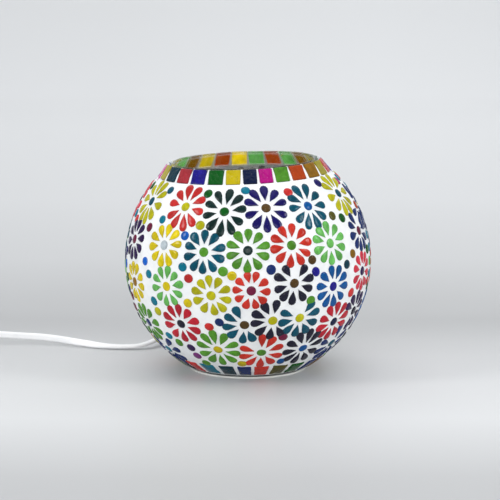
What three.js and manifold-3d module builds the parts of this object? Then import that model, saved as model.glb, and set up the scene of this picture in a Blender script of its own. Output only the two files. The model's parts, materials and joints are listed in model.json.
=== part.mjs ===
// Mosaic glass table lamp: a clear glass globe with an open mouth, covered outside with grout and
// coloured tesserae, on a thin base plate, with an E14 lampholder and bulb inside, and a flat flex
// with an inline rocker switch and a two-pin plug. Millimetres, +Z up, the front faces -Y.
import * as THREE from 'three';
import * as BufferGeometryUtils from 'three/addons/utils/BufferGeometryUtils.js';
import Module from 'manifold-3d';

const wasm = await Module();
wasm.setup();

// ---------------------------------------------------------------- driving dimensions
const BODY_DIAMETER = 180; // over the mosaic, at the widest
const MOUTH_DIAMETER = 111.4; // over the top edge of the rim tiles
const FOOT_DIAMETER = 91; // over the lower edge of the mosaic
const GLASS_WALL = 2.3;
const GLASS_LIP = 2.2; // glass standing above the rim tiles
const MOSAIC_DEPTH = 2.4; // grout and tesserae together
const LEAN = 2.2; // degrees that the mouth leans towards -X, as blown
const FIT_GAP = 0.3; // between pieces that rest on each other

const RIM_TILE_COUNT = 28;
const RIM_TILE_LENGTH = 12.4; // up the band
const RIM_SLOPE = 37; // degrees that the rim band leans in from upright
const RIM_TILE_THICKNESS = 1.6;
const GROUT_JOINT = 1.5; // between neighbouring rim tiles
const FRONT_TILE_BEARINGS = [-73, -59.5, -46, -33, -19.7, -7.5, 4, 15, 26.7, 39.8, 54.5, 68.5, 81];

const PLATE_THICKNESS = 1.3;
const PLATE_INSET = 1.6; // plate edge inside the mosaic's lower edge
const GASKET_THICKNESS = 0.9;
const GASKET_INSET = 0.7; // gasket edge inside the plate edge
const GASKET_WIDTH = 12;

const STUD_DIAMETER = 9.8; // M10 x 1 hollow stud
const STUD_BORE = 6.4;
const STUD_FLANGE_DIAMETER = 30;
const STUD_FLANGE_THICKNESS = 0.9;
const WASHER_DIAMETER = 24;
const SEAL_THICKNESS = 1.2;
const WASHER_THICKNESS = 1.2;
const NUT_ACROSS_FLATS = 17;
const NUT_HEIGHT = 5;

const HOLDER_WALL = 2;
const HOLDER_CUP_HEIGHT = 24;
const HOLDER_FLOOR = 3.4;
const CORE_HEIGHT = 11;
const CORE_TOP_STEP = 0.7; // core standing above the cup
const CONTACT_DIAMETER = 5.2;
const CONTACT_HEIGHT = 2.6;
const SHELL_CLEARANCE = 0.4; // round the bulb's cap
const SHELL_WALL = 0.5;
const SHELL_HEIGHT = 19;
const SLEEVE_HEIGHT = 24;
const SLEEVE_WALL = 5.4; // at its foot, beside the screw shell
const SLEEVE_TAPER = 1.6; // drawn in towards its top
const TERMINAL_OFFSET = 6.5;
const TERMINAL_DIAMETER = 4.4;
const TERMINAL_HEIGHT = 2.6;

const CAP_DIAMETER = 13.8; // E14 screw cap
const CAP_WALL = 0.4;
const CAP_HEIGHT = 17;
const TIP_DIAMETER = 4.8;
const TIP_HEIGHT = 1.6;
const INSULATOR_HEIGHT = 2.6;
const BULB_DIAMETER = 45;
const BULB_WALL = 1.0;
const BULB_NECK = 9; // from the cap's edge to the round of the bulb
const BULB_SHOULDER = 2; // where the neck flares into the round

const HOLE_FALL = 31; // degrees that the lead's hole lies below the globe's middle, at the back
const HOLE_DIAMETER = 10.6;
const GROMMET_FLANGE = 16.4;
const GROMMET_STEP = 1.2; // flange standing above the mosaic
const GROMMET_BARB = 3; // depth of the barb inside the glass
const GROMMET_TAIL = 23;
const GROMMET_TAIL_DIAMETER = 6.4;

const CORD_DIAMETER = 4.2; // round of the same section as the 5.3 x 3.3 flat flex
const CORD_SIDES = 8;
const CORD_STRAIGHT = 9; // straight out of the strain relief
const CORD_IN_SWITCH = 6; // length of lead held in each end of the switch
const LINK_LENGTH = 32; // from the switch to the coil
const COIL_TURN_RADIUS = 29; // middle of the turns
const COIL_WIDTH = 17; // across the turns
const COIL_HEIGHT = 10.8;

const SWITCH_LENGTH = 60;
const SWITCH_WIDTH = 27;
const SWITCH_BASE_HEIGHT = 7.6;
const SWITCH_COVER_HEIGHT = 8.4;
const SWITCH_WALL = 1.8;
const SWITCH_CORNER = 9;
const ROCKER_RADIUS = 8; // from the pivot to the ends
const ROCKER_WIDTH = 9.5;
const ROCKER_TILT = 12; // degrees to each side
const ROCKER_PLAY = 0.5;
const PIVOT_DEPTH = 2.2; // rocker pivot below the top of the switch
const SCREW_HEAD_DIAMETER = 5;
const SCREW_SHANK_DIAMETER = 2.4;
const SCREW_PLACE = 20; // from the middle of the switch, along it
const SCREW_SIDE = 6.5; // from the side of the switch

const PLUG_LENGTH = 34;
const PLUG_WIDTH = 35.3;
const PLUG_HEIGHT = 13.7;
const PLUG_NOSE = 26; // width of the face that carries the pins
const PLUG_TAIL_LENGTH = 18;
const PLUG_TAIL_DIAMETER = 7;
const PIN_DIAMETER = 4;
const PIN_LENGTH = 19;
const PIN_SPACING = 18.6;

const ROUND_STEPS = 48; // facets round the globe
const ARC_STEPS = 15; // facets up the globe, outside and inside
const SMALL_STEPS = 20; // facets round the small turned pieces
const BULB_STEPS = 12; // facets up the round of the bulb

// ---------------------------------------------------------------- sizes worked out from those
const bodyRadius = BODY_DIAMETER / 2;
const footRadius = FOOT_DIAMETER / 2;
const mouthRadius = MOUTH_DIAMETER / 2;
const plateRadius = footRadius - PLATE_INSET;
const gasketZ = PLATE_THICKNESS + FIT_GAP;
const footZ = gasketZ + GASKET_THICKNESS + FIT_GAP;
const centreZ = footZ + Math.sqrt(bodyRadius ** 2 - footRadius ** 2);
const glassOffset = MOSAIC_DEPTH + FIT_GAP;
const bandSlope = rad(RIM_SLOPE);
const bandFootRadius = mouthRadius + RIM_TILE_LENGTH * Math.sin(bandSlope);
const bandAngle = Math.acos(bandFootRadius / bodyRadius); // where the band leaves the round
const floorTop = footZ + GLASS_WALL;
const studRadius = STUD_DIAMETER / 2;
const studHole = studRadius + FIT_GAP;
const sealZ = floorTop + FIT_GAP;
const washerZ = sealZ + SEAL_THICKNESS + FIT_GAP;
const nutZ = washerZ + WASHER_THICKNESS + FIT_GAP;
const holderZ = nutZ + NUT_HEIGHT + FIT_GAP;
const cupTop = holderZ + HOLDER_CUP_HEIGHT;
const shellBore = CAP_DIAMETER / 2 + SHELL_CLEARANCE;
const sleeveBore = shellBore + SHELL_WALL + FIT_GAP;
const holderRadius = sleeveBore + SLEEVE_WALL;
const cupBore = holderRadius - HOLDER_WALL;
const coreRadius = cupBore - FIT_GAP;
const coreTop = cupTop + CORE_TOP_STEP;
const coreZ = coreTop - CORE_HEIGHT;
const contactZ = coreTop + FIT_GAP;
const tipZ = contactZ + CONTACT_HEIGHT + FIT_GAP;
const insulatorZ = tipZ + TIP_HEIGHT + FIT_GAP;
const capZ = insulatorZ + INSULATOR_HEIGHT + FIT_GAP;
const bulbCentreZ = capZ + CAP_HEIGHT + BULB_NECK + BULB_DIAMETER / 2;
const cordRadius = CORD_DIAMETER / 2;
const cordHoleZ = holderZ + HOLDER_FLOOR + cordRadius + 2.2;
const holeAxis = new THREE.Vector3(0, Math.cos(rad(HOLE_FALL)), -Math.sin(rad(HOLE_FALL)));
const bodyCentre = new THREE.Vector3(0, 0, centreZ);
const exit = onHoleAxis(bodyRadius + GROMMET_STEP + GROMMET_TAIL);

// Past its straight start the lead falls (x, y beyond the strain relief, share of its height), then lies
// along the floor (x, y beyond its end, height) as far as the switch.
const FALL = [[-0.5, 15.5, 0.57], [-4, 23.5, 0.38], [-12.5, 29.5, 0.23]];
const LIE = [
  [-25, 31, 3.4], [-38, 26.5, 2.8], [-49.5, 17, 2.8], [-57.5, 4, 3.2], [-63, -10, 4.2],
  [-67.5, -23, 5.4], [-72, -33.5, 5.2], [-78, -39.5, 3.8], [-85, -41.8, 2.6], [-93, -42.2, 2.2],
  [-103, -42, 2.2], [-115, -39.5, 2.5], [-131, -32.5, 3.3], [-147, -25.5, 4.4], [-163, -20.8, 5.2],
  [-180, -19, 5.8], [-197, -18.8, 6.9], [-207, -18.8, 7.9],
];
const switchEndX = -213; // the end of the switch nearer the lamp
const cordSeamZ = SWITCH_BASE_HEIGHT + FIT_GAP / 2; // height of the lead through the switch
const switchMiddle = new THREE.Vector3(switchEndX - SWITCH_LENGTH / 2, exit.y - 18.8, 0);
const rockerPivotZ = SWITCH_BASE_HEIGHT + FIT_GAP + SWITCH_COVER_HEIGHT - PIVOT_DEPTH;
const coilOuter = COIL_TURN_RADIUS + COIL_WIDTH / 2;
const coilInner = COIL_TURN_RADIUS - COIL_WIDTH / 2;
const entryRadius = coilOuter - 3; // the outermost turn
const coilMiddle = new THREE.Vector3(
  switchEndX - SWITCH_LENGTH - LINK_LENGTH - Math.sqrt(coilOuter ** 2 - (entryRadius - cordRadius - FIT_GAP) ** 2),
  switchMiddle.y - entryRadius,
  0,
);

const RED = 0xc22f2a;
const BRICK = 0x9b3a12;
const DUSTY_RED = 0xa03237;
const ORANGE_BROWN = 0xa8480f;
const AMBER = 0x8a5f06;
const OCHRE = 0xc8b40a;
const YELLOW = 0xe6cd14;
const OLIVE = 0xafa528;
const LIGHT_GREEN = 0x6ec85a;
const MID_GREEN = 0x469628;
const DARK_GREEN = 0x00500a;
const TEAL = 0x0f555a;
const ROYAL_BLUE = 0x1e148c;
const NAVY = 0x001432;
const MAGENTA = 0x96006e;
const RIM_COLOURS = [
  OLIVE, TEAL, DUSTY_RED, ROYAL_BLUE, DARK_GREEN, OCHRE, NAVY, MAGENTA, MID_GREEN, BRICK, AMBER,
  OLIVE, RED, ROYAL_BLUE, DARK_GREEN, OLIVE, AMBER, LIGHT_GREEN, ORANGE_BROWN, LIGHT_GREEN,
  YELLOW, ORANGE_BROWN, YELLOW, AMBER, LIGHT_GREEN, OCHRE, TEAL, MAGENTA,
];

// ---------------------------------------------------------------- helpers
function rad(degrees) {
  return THREE.MathUtils.degToRad(degrees);
}

function onHoleAxis(distance) {
  return bodyCentre.clone().addScaledVector(holeAxis, distance);
}

function finish(color, roughness, metalness = 0, opacity = 1) {
  return new THREE.MeshStandardMaterial({ color, roughness, metalness, opacity, transparent: opacity < 1 });
}

function named(name, geometry, material) {
  const mesh = new THREE.Mesh(geometry, material);
  mesh.name = name;
  return mesh;
}

function welded(geometry) {
  geometry.deleteAttribute('normal');
  geometry.deleteAttribute('uv');
  return BufferGeometryUtils.mergeVertices(geometry, 1e-4);
}

function toSolid(geometry) {
  const whole = welded(geometry.clone());
  return new wasm.Manifold(new wasm.Mesh({
    numProp: 3,
    vertProperties: Float32Array.from(whole.attributes.position.array),
    triVerts: Uint32Array.from(whole.index.array),
  }));
}

function toGeometry(solid) {
  const mesh = solid.getMesh();
  const geometry = new THREE.BufferGeometry();
  geometry.setAttribute('position', new THREE.BufferAttribute(Float32Array.from(mesh.vertProperties), 3));
  geometry.setIndex(new THREE.BufferAttribute(Uint32Array.from(mesh.triVerts), 1));
  geometry.computeVertexNormals();
  return geometry;
}

function cut(geometry, ...tools) {
  const solid = tools.reduce((left, tool) => left.subtract(toSolid(tool)), toSolid(geometry));
  return toGeometry(solid);
}

// A turned piece about +Z. The outline holds [radius, height] pairs in order round the section.
function turned(outline, steps = SMALL_STEPS) {
  const points = outline.map(([radius, height]) => new THREE.Vector2(Math.max(radius, 0), height));
  const onAxis = points[0].x < 1e-9 && points.at(-1).x < 1e-9;
  if (THREE.ShapeUtils.area(points) < 0) {
    points.reverse();
  }
  if (!onAxis) {
    points.push(points[0].clone());
  }
  return new THREE.LatheGeometry(points, steps).rotateX(Math.PI / 2);
}

function cylinder(radius, from, to, steps = SMALL_STEPS) {
  return turned([[0, from], [radius, from], [radius, to], [0, to]], steps);
}

// Points on an arc about (0, centreZ), from one angle above the level to another.
function arc(radius, from, to, steps) {
  const points = [];
  for (let i = 0; i <= steps; i += 1) {
    const angle = THREE.MathUtils.lerp(from, to, i / steps);
    points.push([radius * Math.cos(angle), centreZ + radius * Math.sin(angle)]);
  }
  return points;
}

// A point on the straight rim band, at a depth under the mosaic's face and a length up the band.
function onBand(depth, along) {
  const radius = bandFootRadius - depth * Math.cos(bandSlope) - along * Math.sin(bandSlope);
  const rise = bodyRadius * Math.sin(bandAngle) - depth * Math.sin(bandSlope) + along * Math.cos(bandSlope);
  return [radius, centreZ + rise];
}

// The angle below the level at which a sphere of this radius meets a height.
function angleAt(radius, height) {
  return Math.asin((height - centreZ) / radius);
}

// Turns the upper part of a globe-shaped piece about the globe's middle, so that its mouth leans.
function leaned(geometry) {
  const bent = welded(geometry);
  const place = bent.attributes.position;
  const point = new THREE.Vector3();
  const up = new THREE.Vector3(0, 1, 0);
  for (let i = 0; i < place.count; i += 1) {
    point.fromBufferAttribute(place, i).sub(bodyCentre);
    const share = THREE.MathUtils.smoothstep(point.z, -bodyRadius * 0.75, bodyRadius * 0.25);
    point.applyAxisAngle(up, -rad(LEAN) * share).add(bodyCentre);
    place.setXYZ(i, point.x, point.y, point.z);
  }
  return bent;
}

// A piece turned about the lead's hole, laid from the globe's middle outwards.
function alongHole(geometry) {
  const turn = new THREE.Quaternion().setFromUnitVectors(new THREE.Vector3(0, 0, 1), holeAxis);
  return geometry.applyQuaternion(turn).translate(0, 0, centreZ);
}

function rectangle(length, width) {
  const x = length / 2;
  const y = width / 2;
  return new THREE.Shape([[-x, -y], [x, -y], [x, y], [-x, y]].map(([px, py]) => new THREE.Vector2(px, py)));
}

function roundedRectangle(length, width, corner) {
  const shape = new THREE.Shape();
  const x = length / 2;
  const y = width / 2;
  shape.moveTo(-x + corner, -y);
  shape.lineTo(x - corner, -y);
  shape.absarc(x - corner, -y + corner, corner, -Math.PI / 2, 0, false);
  shape.lineTo(x, y - corner);
  shape.absarc(x - corner, y - corner, corner, 0, Math.PI / 2, false);
  shape.lineTo(-x + corner, y);
  shape.absarc(-x + corner, y - corner, corner, Math.PI / 2, Math.PI, false);
  shape.lineTo(-x, -y + corner);
  shape.absarc(-x + corner, -y + corner, corner, Math.PI, 1.5 * Math.PI, false);
  return shape;
}

// A tube of the flex along a smooth curve through points.
function flex(points, steps) {
  const section = new THREE.Shape();
  section.absarc(0, 0, cordRadius, 0, 2 * Math.PI, false);
  const extrudePath = new THREE.CatmullRomCurve3(points, false, 'centripetal');
  return new THREE.ExtrudeGeometry(section, { steps, extrudePath, curveSegments: CORD_SIDES / 2 });
}

// ---------------------------------------------------------------- finishes
const WHITE_PAINT = finish(0xf2f2ee, 0.45);
const DARK_SEAL = finish(0x2a2c2e, 0.9);
const CLEAR_GLASS = finish(0xdfe8e2, 0.05, 0, 0.35);
const GROUT = finish(0xf4f4f0, 0.9);
const STEEL = finish(0xb9bcc0, 0.35, 1);
const BRASS = finish(0xc9a34e, 0.35, 1);
const BAKELITE = finish(0xe9e6dc, 0.4);
const CERAMIC = finish(0xf1efe8, 0.3);
const OPAL = finish(0xf6f3ea, 0.2);
const BLACK_GLASS = finish(0x151515, 0.2);
const WHITE_FLEX = finish(0xf4f4f2, 0.5);
const RUBBER = finish(0xf0f0ec, 0.7);
const WHITE_PLASTIC = finish(0xf3f3ef, 0.35);

// ---------------------------------------------------------------- stand and globe
function basePlate() {
  const edge = 0.3;
  const outline = [
    [0, 0], [plateRadius - edge, 0], [plateRadius, edge], [plateRadius, PLATE_THICKNESS - edge],
    [plateRadius - edge, PLATE_THICKNESS], [0, PLATE_THICKNESS],
  ];
  return named('base_plate', turned(outline, ROUND_STEPS), WHITE_PAINT);
}

function baseGasket() {
  const outer = plateRadius - GASKET_INSET;
  const inner = outer - GASKET_WIDTH;
  const top = gasketZ + GASKET_THICKNESS;
  const outline = [[inner, gasketZ], [outer, gasketZ], [outer, top], [inner, top]];
  return named('base_gasket', turned(outline, ROUND_STEPS), DARK_SEAL);
}

function stud() {
  const top = gasketZ + STUD_FLANGE_THICKNESS;
  const flange = STUD_FLANGE_DIAMETER / 2;
  const studTop = holderZ + HOLDER_FLOOR + 1;
  const outline = [
    [STUD_BORE / 2, gasketZ], [flange, gasketZ], [flange, top],
    [studRadius, top], [studRadius, studTop], [STUD_BORE / 2, studTop],
  ];
  return named('hollow_stud', turned(outline), STEEL);
}

function globe() {
  const outer = bodyRadius - glassOffset;
  const inner = outer - GLASS_WALL;
  const lip = RIM_TILE_LENGTH + GLASS_LIP;
  const floorInner = angleAt(inner, floorTop);
  const outline = [
    [studHole, footZ],
    ...arc(outer, angleAt(outer, footZ), bandAngle, ARC_STEPS),
    onBand(glassOffset, lip),
    onBand(glassOffset + GLASS_WALL, lip),
    ...arc(inner, bandAngle, floorInner, ARC_STEPS),
    [studHole, floorTop],
  ];
  const hole = alongHole(cylinder(HOLE_DIAMETER / 2, inner - 8, bodyRadius + 4));
  return named('glass_globe', cut(leaned(turned(outline, ROUND_STEPS)), hole), CLEAR_GLASS);
}

function mosaicField() {
  const bed = RIM_TILE_THICKNESS + FIT_GAP;
  const inner = bodyRadius - MOSAIC_DEPTH;
  const outline = [
    ...arc(bodyRadius, angleAt(bodyRadius, footZ), bandAngle - rad(0.3), ARC_STEPS),
    onBand(bed, 0),
    onBand(bed, RIM_TILE_LENGTH),
    onBand(MOSAIC_DEPTH, RIM_TILE_LENGTH),
    ...arc(inner, bandAngle, angleAt(inner, footZ), ARC_STEPS),
  ];
  const hole = alongHole(cylinder(GROMMET_FLANGE / 2 + FIT_GAP, inner - 8, bodyRadius + 4));
  return named('mosaic_field', cut(leaned(turned(outline, ROUND_STEPS)), hole), GROUT);
}

// Bearings from the front, right positive. The front tiles are set by hand; the rest share what is left.
function rimTileBearings() {
  const first = FRONT_TILE_BEARINGS[0];
  const last = FRONT_TILE_BEARINGS.at(-1);
  const rest = RIM_TILE_COUNT - FRONT_TILE_BEARINGS.length;
  const pitch = (360 + first - last) / (rest + 1);
  const others = Array.from({ length: rest }, (_, i) => last + pitch * (i + 1));
  return [...FRONT_TILE_BEARINGS, ...others];
}

function rimTiles() {
  const lean = new THREE.Group();
  lean.position.copy(bodyCentre);
  lean.rotation.y = -rad(LEAN);
  const bearings = rimTileBearings();
  const edge = 0.4;
  const length = RIM_TILE_LENGTH - 2 * FIT_GAP;
  bearings.forEach((bearing, i) => {
    const before = i === 0 ? bearings.at(-1) - 360 : bearings[i - 1];
    const after = i === bearings.length - 1 ? bearings[0] + 360 : bearings[i + 1];
    const [topRadius] = onBand(0, RIM_TILE_LENGTH);
    const [radius, height] = onBand(RIM_TILE_THICKNESS, RIM_TILE_LENGTH / 2);
    const width = rad((after - before) / 2) * (topRadius + radius) / 2 - GROUT_JOINT;
    const face = rectangle(width - 2 * edge, length - 2 * edge);
    const tile = new THREE.ExtrudeGeometry(face, {
      depth: RIM_TILE_THICKNESS - edge,
      bevelThickness: edge,
      bevelSize: edge,
      bevelSegments: 1,
    });
    tile.translate(0, 0, edge - FIT_GAP / 4);
    tile.rotateX(Math.PI / 2 - bandSlope);
    tile.translate(0, -radius, height - centreZ);
    tile.rotateZ(rad(bearing));
    const name = `rim_tile_${String(i + 1).padStart(2, '0')}`;
    lean.add(named(name, tile, finish(RIM_COLOURS[i % RIM_COLOURS.length], 0.15)));
  });
  return lean;
}

// ---------------------------------------------------------------- lampholder
function washer(name, height, thickness, material) {
  const outer = WASHER_DIAMETER / 2;
  const outline = [
    [studHole, height], [outer, height], [outer, height + thickness], [studHole, height + thickness],
  ];
  return named(name, turned(outline), material);
}

function clampNut() {
  const hexagon = new THREE.Shape();
  const corner = NUT_ACROSS_FLATS / Math.sqrt(3);
  for (let i = 0; i < 6; i += 1) {
    const angle = i * Math.PI / 3;
    hexagon[i ? 'lineTo' : 'moveTo'](corner * Math.cos(angle), corner * Math.sin(angle));
  }
  hexagon.closePath();
  const bore = new THREE.Path();
  bore.absarc(0, 0, studHole, 0, 2 * Math.PI, true);
  hexagon.holes.push(bore);
  const nut = new THREE.ExtrudeGeometry(hexagon, {
    depth: NUT_HEIGHT,
    bevelEnabled: false,
    curveSegments: 12,
  });
  return named('clamp_nut', nut.translate(0, 0, nutZ), STEEL);
}

function holderBase() {
  const floor = holderZ + HOLDER_FLOOR;
  const outline = [
    [studHole, holderZ], [holderRadius - 1.5, holderZ], [holderRadius, holderZ + 1.5],
    [holderRadius, cupTop], [cupBore, cupTop], [cupBore, floor], [studHole, floor],
  ];
  const entry = cylinder(cordRadius + FIT_GAP, 0, holderRadius + 4, 12)
    .rotateX(-Math.PI / 2)
    .translate(0, 0, cordHoleZ);
  return named('holder_base', cut(turned(outline), entry), BAKELITE);
}

function holderCore() {
  const outline = [
    [0, coreZ], [coreRadius, coreZ], [coreRadius, cupTop + FIT_GAP],
    [coreRadius - 1, coreTop], [0, coreTop],
  ];
  return named('holder_core', turned(outline), CERAMIC);
}

function centreContact() {
  const radius = CONTACT_DIAMETER / 2;
  const top = contactZ + CONTACT_HEIGHT;
  const outline = [[0, contactZ], [radius, contactZ], [radius, top - 0.8], [radius - 1, top], [0, top]];
  return named('centre_contact', turned(outline), BRASS);
}

function screwShell() {
  const outer = shellBore + SHELL_WALL;
  const top = contactZ + SHELL_HEIGHT;
  const seat = contactZ + SHELL_WALL;
  const seatBore = CONTACT_DIAMETER / 2 + 1.5;
  const outline = [
    [seatBore, contactZ], [outer, contactZ], [outer, top],
    [shellBore, top], [shellBore, seat], [seatBore, seat],
  ];
  return named('screw_shell', turned(outline), BRASS);
}

function holderSleeve() {
  const from = cupTop + FIT_GAP;
  const top = from + SLEEVE_HEIGHT;
  const seat = coreTop + FIT_GAP;
  const outline = [
    [coreRadius + FIT_GAP, from], [holderRadius, from], [holderRadius - SLEEVE_TAPER, top - 1],
    [holderRadius - SLEEVE_TAPER - 1, top], [sleeveBore, top], [sleeveBore, seat],
    [coreRadius + FIT_GAP, seat],
  ];
  return named('holder_sleeve', turned(outline), BAKELITE);
}

function terminalScrew(name, side) {
  const top = coreZ - FIT_GAP;
  const radius = TERMINAL_DIAMETER / 2;
  const screw = turned([
    [0, top - TERMINAL_HEIGHT], [radius - 0.5, top - TERMINAL_HEIGHT],
    [radius, top - TERMINAL_HEIGHT + 0.6], [radius, top], [0, top],
  ], 12);
  return named(name, screw.translate(side * TERMINAL_OFFSET, 0, 0), BRASS);
}

// ---------------------------------------------------------------- bulb
function bulbTip() {
  const radius = TIP_DIAMETER / 2;
  const top = tipZ + TIP_HEIGHT;
  const outline = [[0, tipZ], [radius - 1, tipZ], [radius, tipZ + 0.8], [radius, top], [0, top]];
  return named('bulb_tip', turned(outline), STEEL);
}

function bulbInsulator() {
  const top = insulatorZ + INSULATOR_HEIGHT;
  const outline = [
    [0, insulatorZ], [TIP_DIAMETER / 2 + 0.4, insulatorZ], [CAP_DIAMETER / 2 - 1.2, top], [0, top],
  ];
  return named('bulb_insulator', turned(outline), BLACK_GLASS);
}

function bulbCap() {
  const radius = CAP_DIAMETER / 2;
  const top = capZ + CAP_HEIGHT;
  const floor = capZ + CAP_WALL;
  const outline = [
    [0, capZ], [radius - 1, capZ], [radius, capZ + 1.2], [radius, top],
    [radius - CAP_WALL, top], [radius - CAP_WALL, floor + 1], [radius - 1 - CAP_WALL, floor], [0, floor],
  ];
  return named('bulb_cap', turned(outline), STEEL);
}

function bulbGlass() {
  const neck = CAP_DIAMETER / 2 - CAP_WALL - FIT_GAP;
  const round = BULB_DIAMETER / 2;
  const from = capZ + CAP_HEIGHT - 4;
  const lining = round - BULB_WALL;
  const outside = [];
  const inside = [];
  const join = Math.asin((neck + BULB_SHOULDER) / round) - Math.PI / 2;
  for (let i = 0; i <= BULB_STEPS; i += 1) {
    const angle = THREE.MathUtils.lerp(join, Math.PI / 2, i / BULB_STEPS);
    outside.push([round * Math.cos(angle), bulbCentreZ + round * Math.sin(angle)]);
    inside.push([lining * Math.cos(angle), bulbCentreZ + lining * Math.sin(angle)]);
  }
  const rise = (outside[0][1] - from) / 2;
  const outline = [
    [neck - BULB_WALL, from], [neck, from], [neck, from + rise], ...outside,
    ...inside.reverse(), [neck - BULB_WALL, from + rise],
  ];
  outline[outline.findIndex(([radius]) => radius < 1e-6)][0] = 0;
  return named('bulb_glass', hollowTurned(outline), OPAL);
}

// A turned hollow whose outline touches the axis part-way, as a round bulb's crown does.
function hollowTurned(outline) {
  const crown = outline.findIndex(([radius]) => radius < 1e-6);
  const skin = outline.slice(0, crown + 1);
  const lining = outline.slice(crown + 1);
  const [mouthIn, mouthZ] = outline[0];
  const body = turned([[0, mouthZ], ...skin]);
  const space = turned([...lining, [mouthIn, mouthZ - 1], [0, mouthZ - 1]].reverse());
  return cut(body, space);
}

// ---------------------------------------------------------------- lead
function grommet() {
  const glassOut = bodyRadius - glassOffset;
  const glassIn = glassOut - GLASS_WALL;
  const seat = glassOut + FIT_GAP;
  const neck = HOLE_DIAMETER / 2 - FIT_GAP;
  const flange = GROMMET_FLANGE / 2;
  const collar = bodyRadius + GROMMET_STEP;
  const outline = [
    [0, glassIn - GROMMET_BARB], [neck + 1.2, glassIn - GROMMET_BARB], [neck + 1.8, glassIn - 1],
    [neck, glassIn - 1], [neck, seat], [flange, seat], [flange, collar - 0.8],
    [flange - 0.8, collar], [neck, collar],
    [GROMMET_TAIL_DIAMETER / 2, collar + GROMMET_TAIL], [0, collar + GROMMET_TAIL],
  ];
  return named('cord_grommet', alongHole(turned(outline)), RUBBER);
}

function innerCord() {
  const start = onHoleAxis(bodyRadius - glassOffset - GLASS_WALL - GROMMET_BARB - FIT_GAP);
  const points = [
    start,
    onHoleAxis(bodyRadius - glassOffset - GLASS_WALL - 12),
    new THREE.Vector3(0, start.y * 0.62, THREE.MathUtils.lerp(cordHoleZ, start.z, 0.34)),
    new THREE.Vector3(0, start.y * 0.4, THREE.MathUtils.lerp(cordHoleZ, start.z, 0.06)),
    new THREE.Vector3(0, holderRadius + 4, cordHoleZ),
    new THREE.Vector3(0, cupBore - 2.5, cordHoleZ),
  ];
  return named('cord_inner', flex(points, 8), WHITE_FLEX);
}

function cordRun() {
  const start = exit.clone().addScaledVector(holeAxis, FIT_GAP);
  const straight = exit.clone().addScaledVector(holeAxis, CORD_STRAIGHT);
  const fall = FALL.map(([x, y, share]) => new THREE.Vector3(x, exit.y + y, exit.z * share));
  const lie = LIE.map(([x, y, z]) => new THREE.Vector3(x, exit.y + y, z));
  const mouth = new THREE.Vector3(switchEndX, switchMiddle.y, cordSeamZ);
  const end = mouth.clone().setX(switchEndX - CORD_IN_SWITCH);
  return named('cord_run', flex([start, straight, ...fall, ...lie, mouth, end], 46), WHITE_FLEX);
}

function cordLink() {
  const from = switchEndX - SWITCH_LENGTH;
  const y = switchMiddle.y;
  const points = [
    new THREE.Vector3(from + CORD_IN_SWITCH, y, cordSeamZ), new THREE.Vector3(from, y, cordSeamZ),
    new THREE.Vector3(from - 8, y, cordSeamZ - 0.6),
    new THREE.Vector3(from - 18, y, 5), new THREE.Vector3(from - 26, y, 3.4),
    new THREE.Vector3(from - LINK_LENGTH + 0.5, y, 2.8),
  ];
  return named('cord_link', flex(points, 6), WHITE_FLEX);
}

function cordCoil() {
  const round = 2.5;
  const outline = [
    [coilInner + round, 0.1], [coilOuter - round, 0.1], [coilOuter, round],
    [coilOuter, COIL_HEIGHT - round], [coilOuter - round, COIL_HEIGHT],
    [coilInner + round, COIL_HEIGHT], [coilInner, COIL_HEIGHT - round], [coilInner, round],
  ];
  const ring = turned(outline, 32).translate(coilMiddle.x, coilMiddle.y, 0);
  return named('cord_coil', ring, WHITE_FLEX);
}

// ---------------------------------------------------------------- inline switch
function switchOutline(inset) {
  return roundedRectangle(SWITCH_LENGTH - 2 * inset, SWITCH_WIDTH - 2 * inset, SWITCH_CORNER - inset);
}

function switchShell(from, height, outward) {
  const edge = 1.2;
  const shell = new THREE.ExtrudeGeometry(switchOutline(edge), {
    depth: height - edge,
    bevelThickness: edge,
    bevelSize: edge,
    bevelSegments: 2,
    curveSegments: 4,
  });
  shell.translate(0, 0, edge);
  const overhang = new THREE.BoxGeometry(SWITCH_LENGTH + 4, SWITCH_WIDTH + 4, 4);
  overhang.translate(0, 0, height + 2);
  const hollow = new THREE.ExtrudeGeometry(switchOutline(SWITCH_WALL), {
    depth: height,
    bevelEnabled: false,
    curveSegments: 4,
  });
  hollow.translate(0, 0, SWITCH_WALL);
  const open = cut(shell, overhang, hollow);
  if (!outward) {
    open.rotateX(Math.PI).translate(0, 0, height);
  }
  return open.translate(switchMiddle.x, switchMiddle.y, from);
}

function cordPassage() {
  return cylinder(cordRadius + FIT_GAP, -SWITCH_LENGTH, SWITCH_LENGTH, 12)
    .rotateY(Math.PI / 2)
    .translate(switchMiddle.x, switchMiddle.y, cordSeamZ);
}

function screwPlaces() {
  const y = switchMiddle.y - SWITCH_WIDTH / 2 + SCREW_SIDE;
  return [1, -1].map((side) => new THREE.Vector3(switchMiddle.x + side * SCREW_PLACE, y, 0));
}

function switchBase() {
  const sockets = screwPlaces().map(({ x, y }) => turned([
    [0, -1], [SCREW_HEAD_DIAMETER / 2 + FIT_GAP, -1], [SCREW_HEAD_DIAMETER / 2 + FIT_GAP, 1.1],
    [SCREW_SHANK_DIAMETER / 2 + FIT_GAP, 1.1], [SCREW_SHANK_DIAMETER / 2 + FIT_GAP, 4], [0, 4],
  ], 16).translate(x, y, 0));
  const shell = switchShell(0, SWITCH_BASE_HEIGHT, true);
  return named('switch_base', cut(shell, cordPassage(), ...sockets), WHITE_PLASTIC);
}

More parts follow.
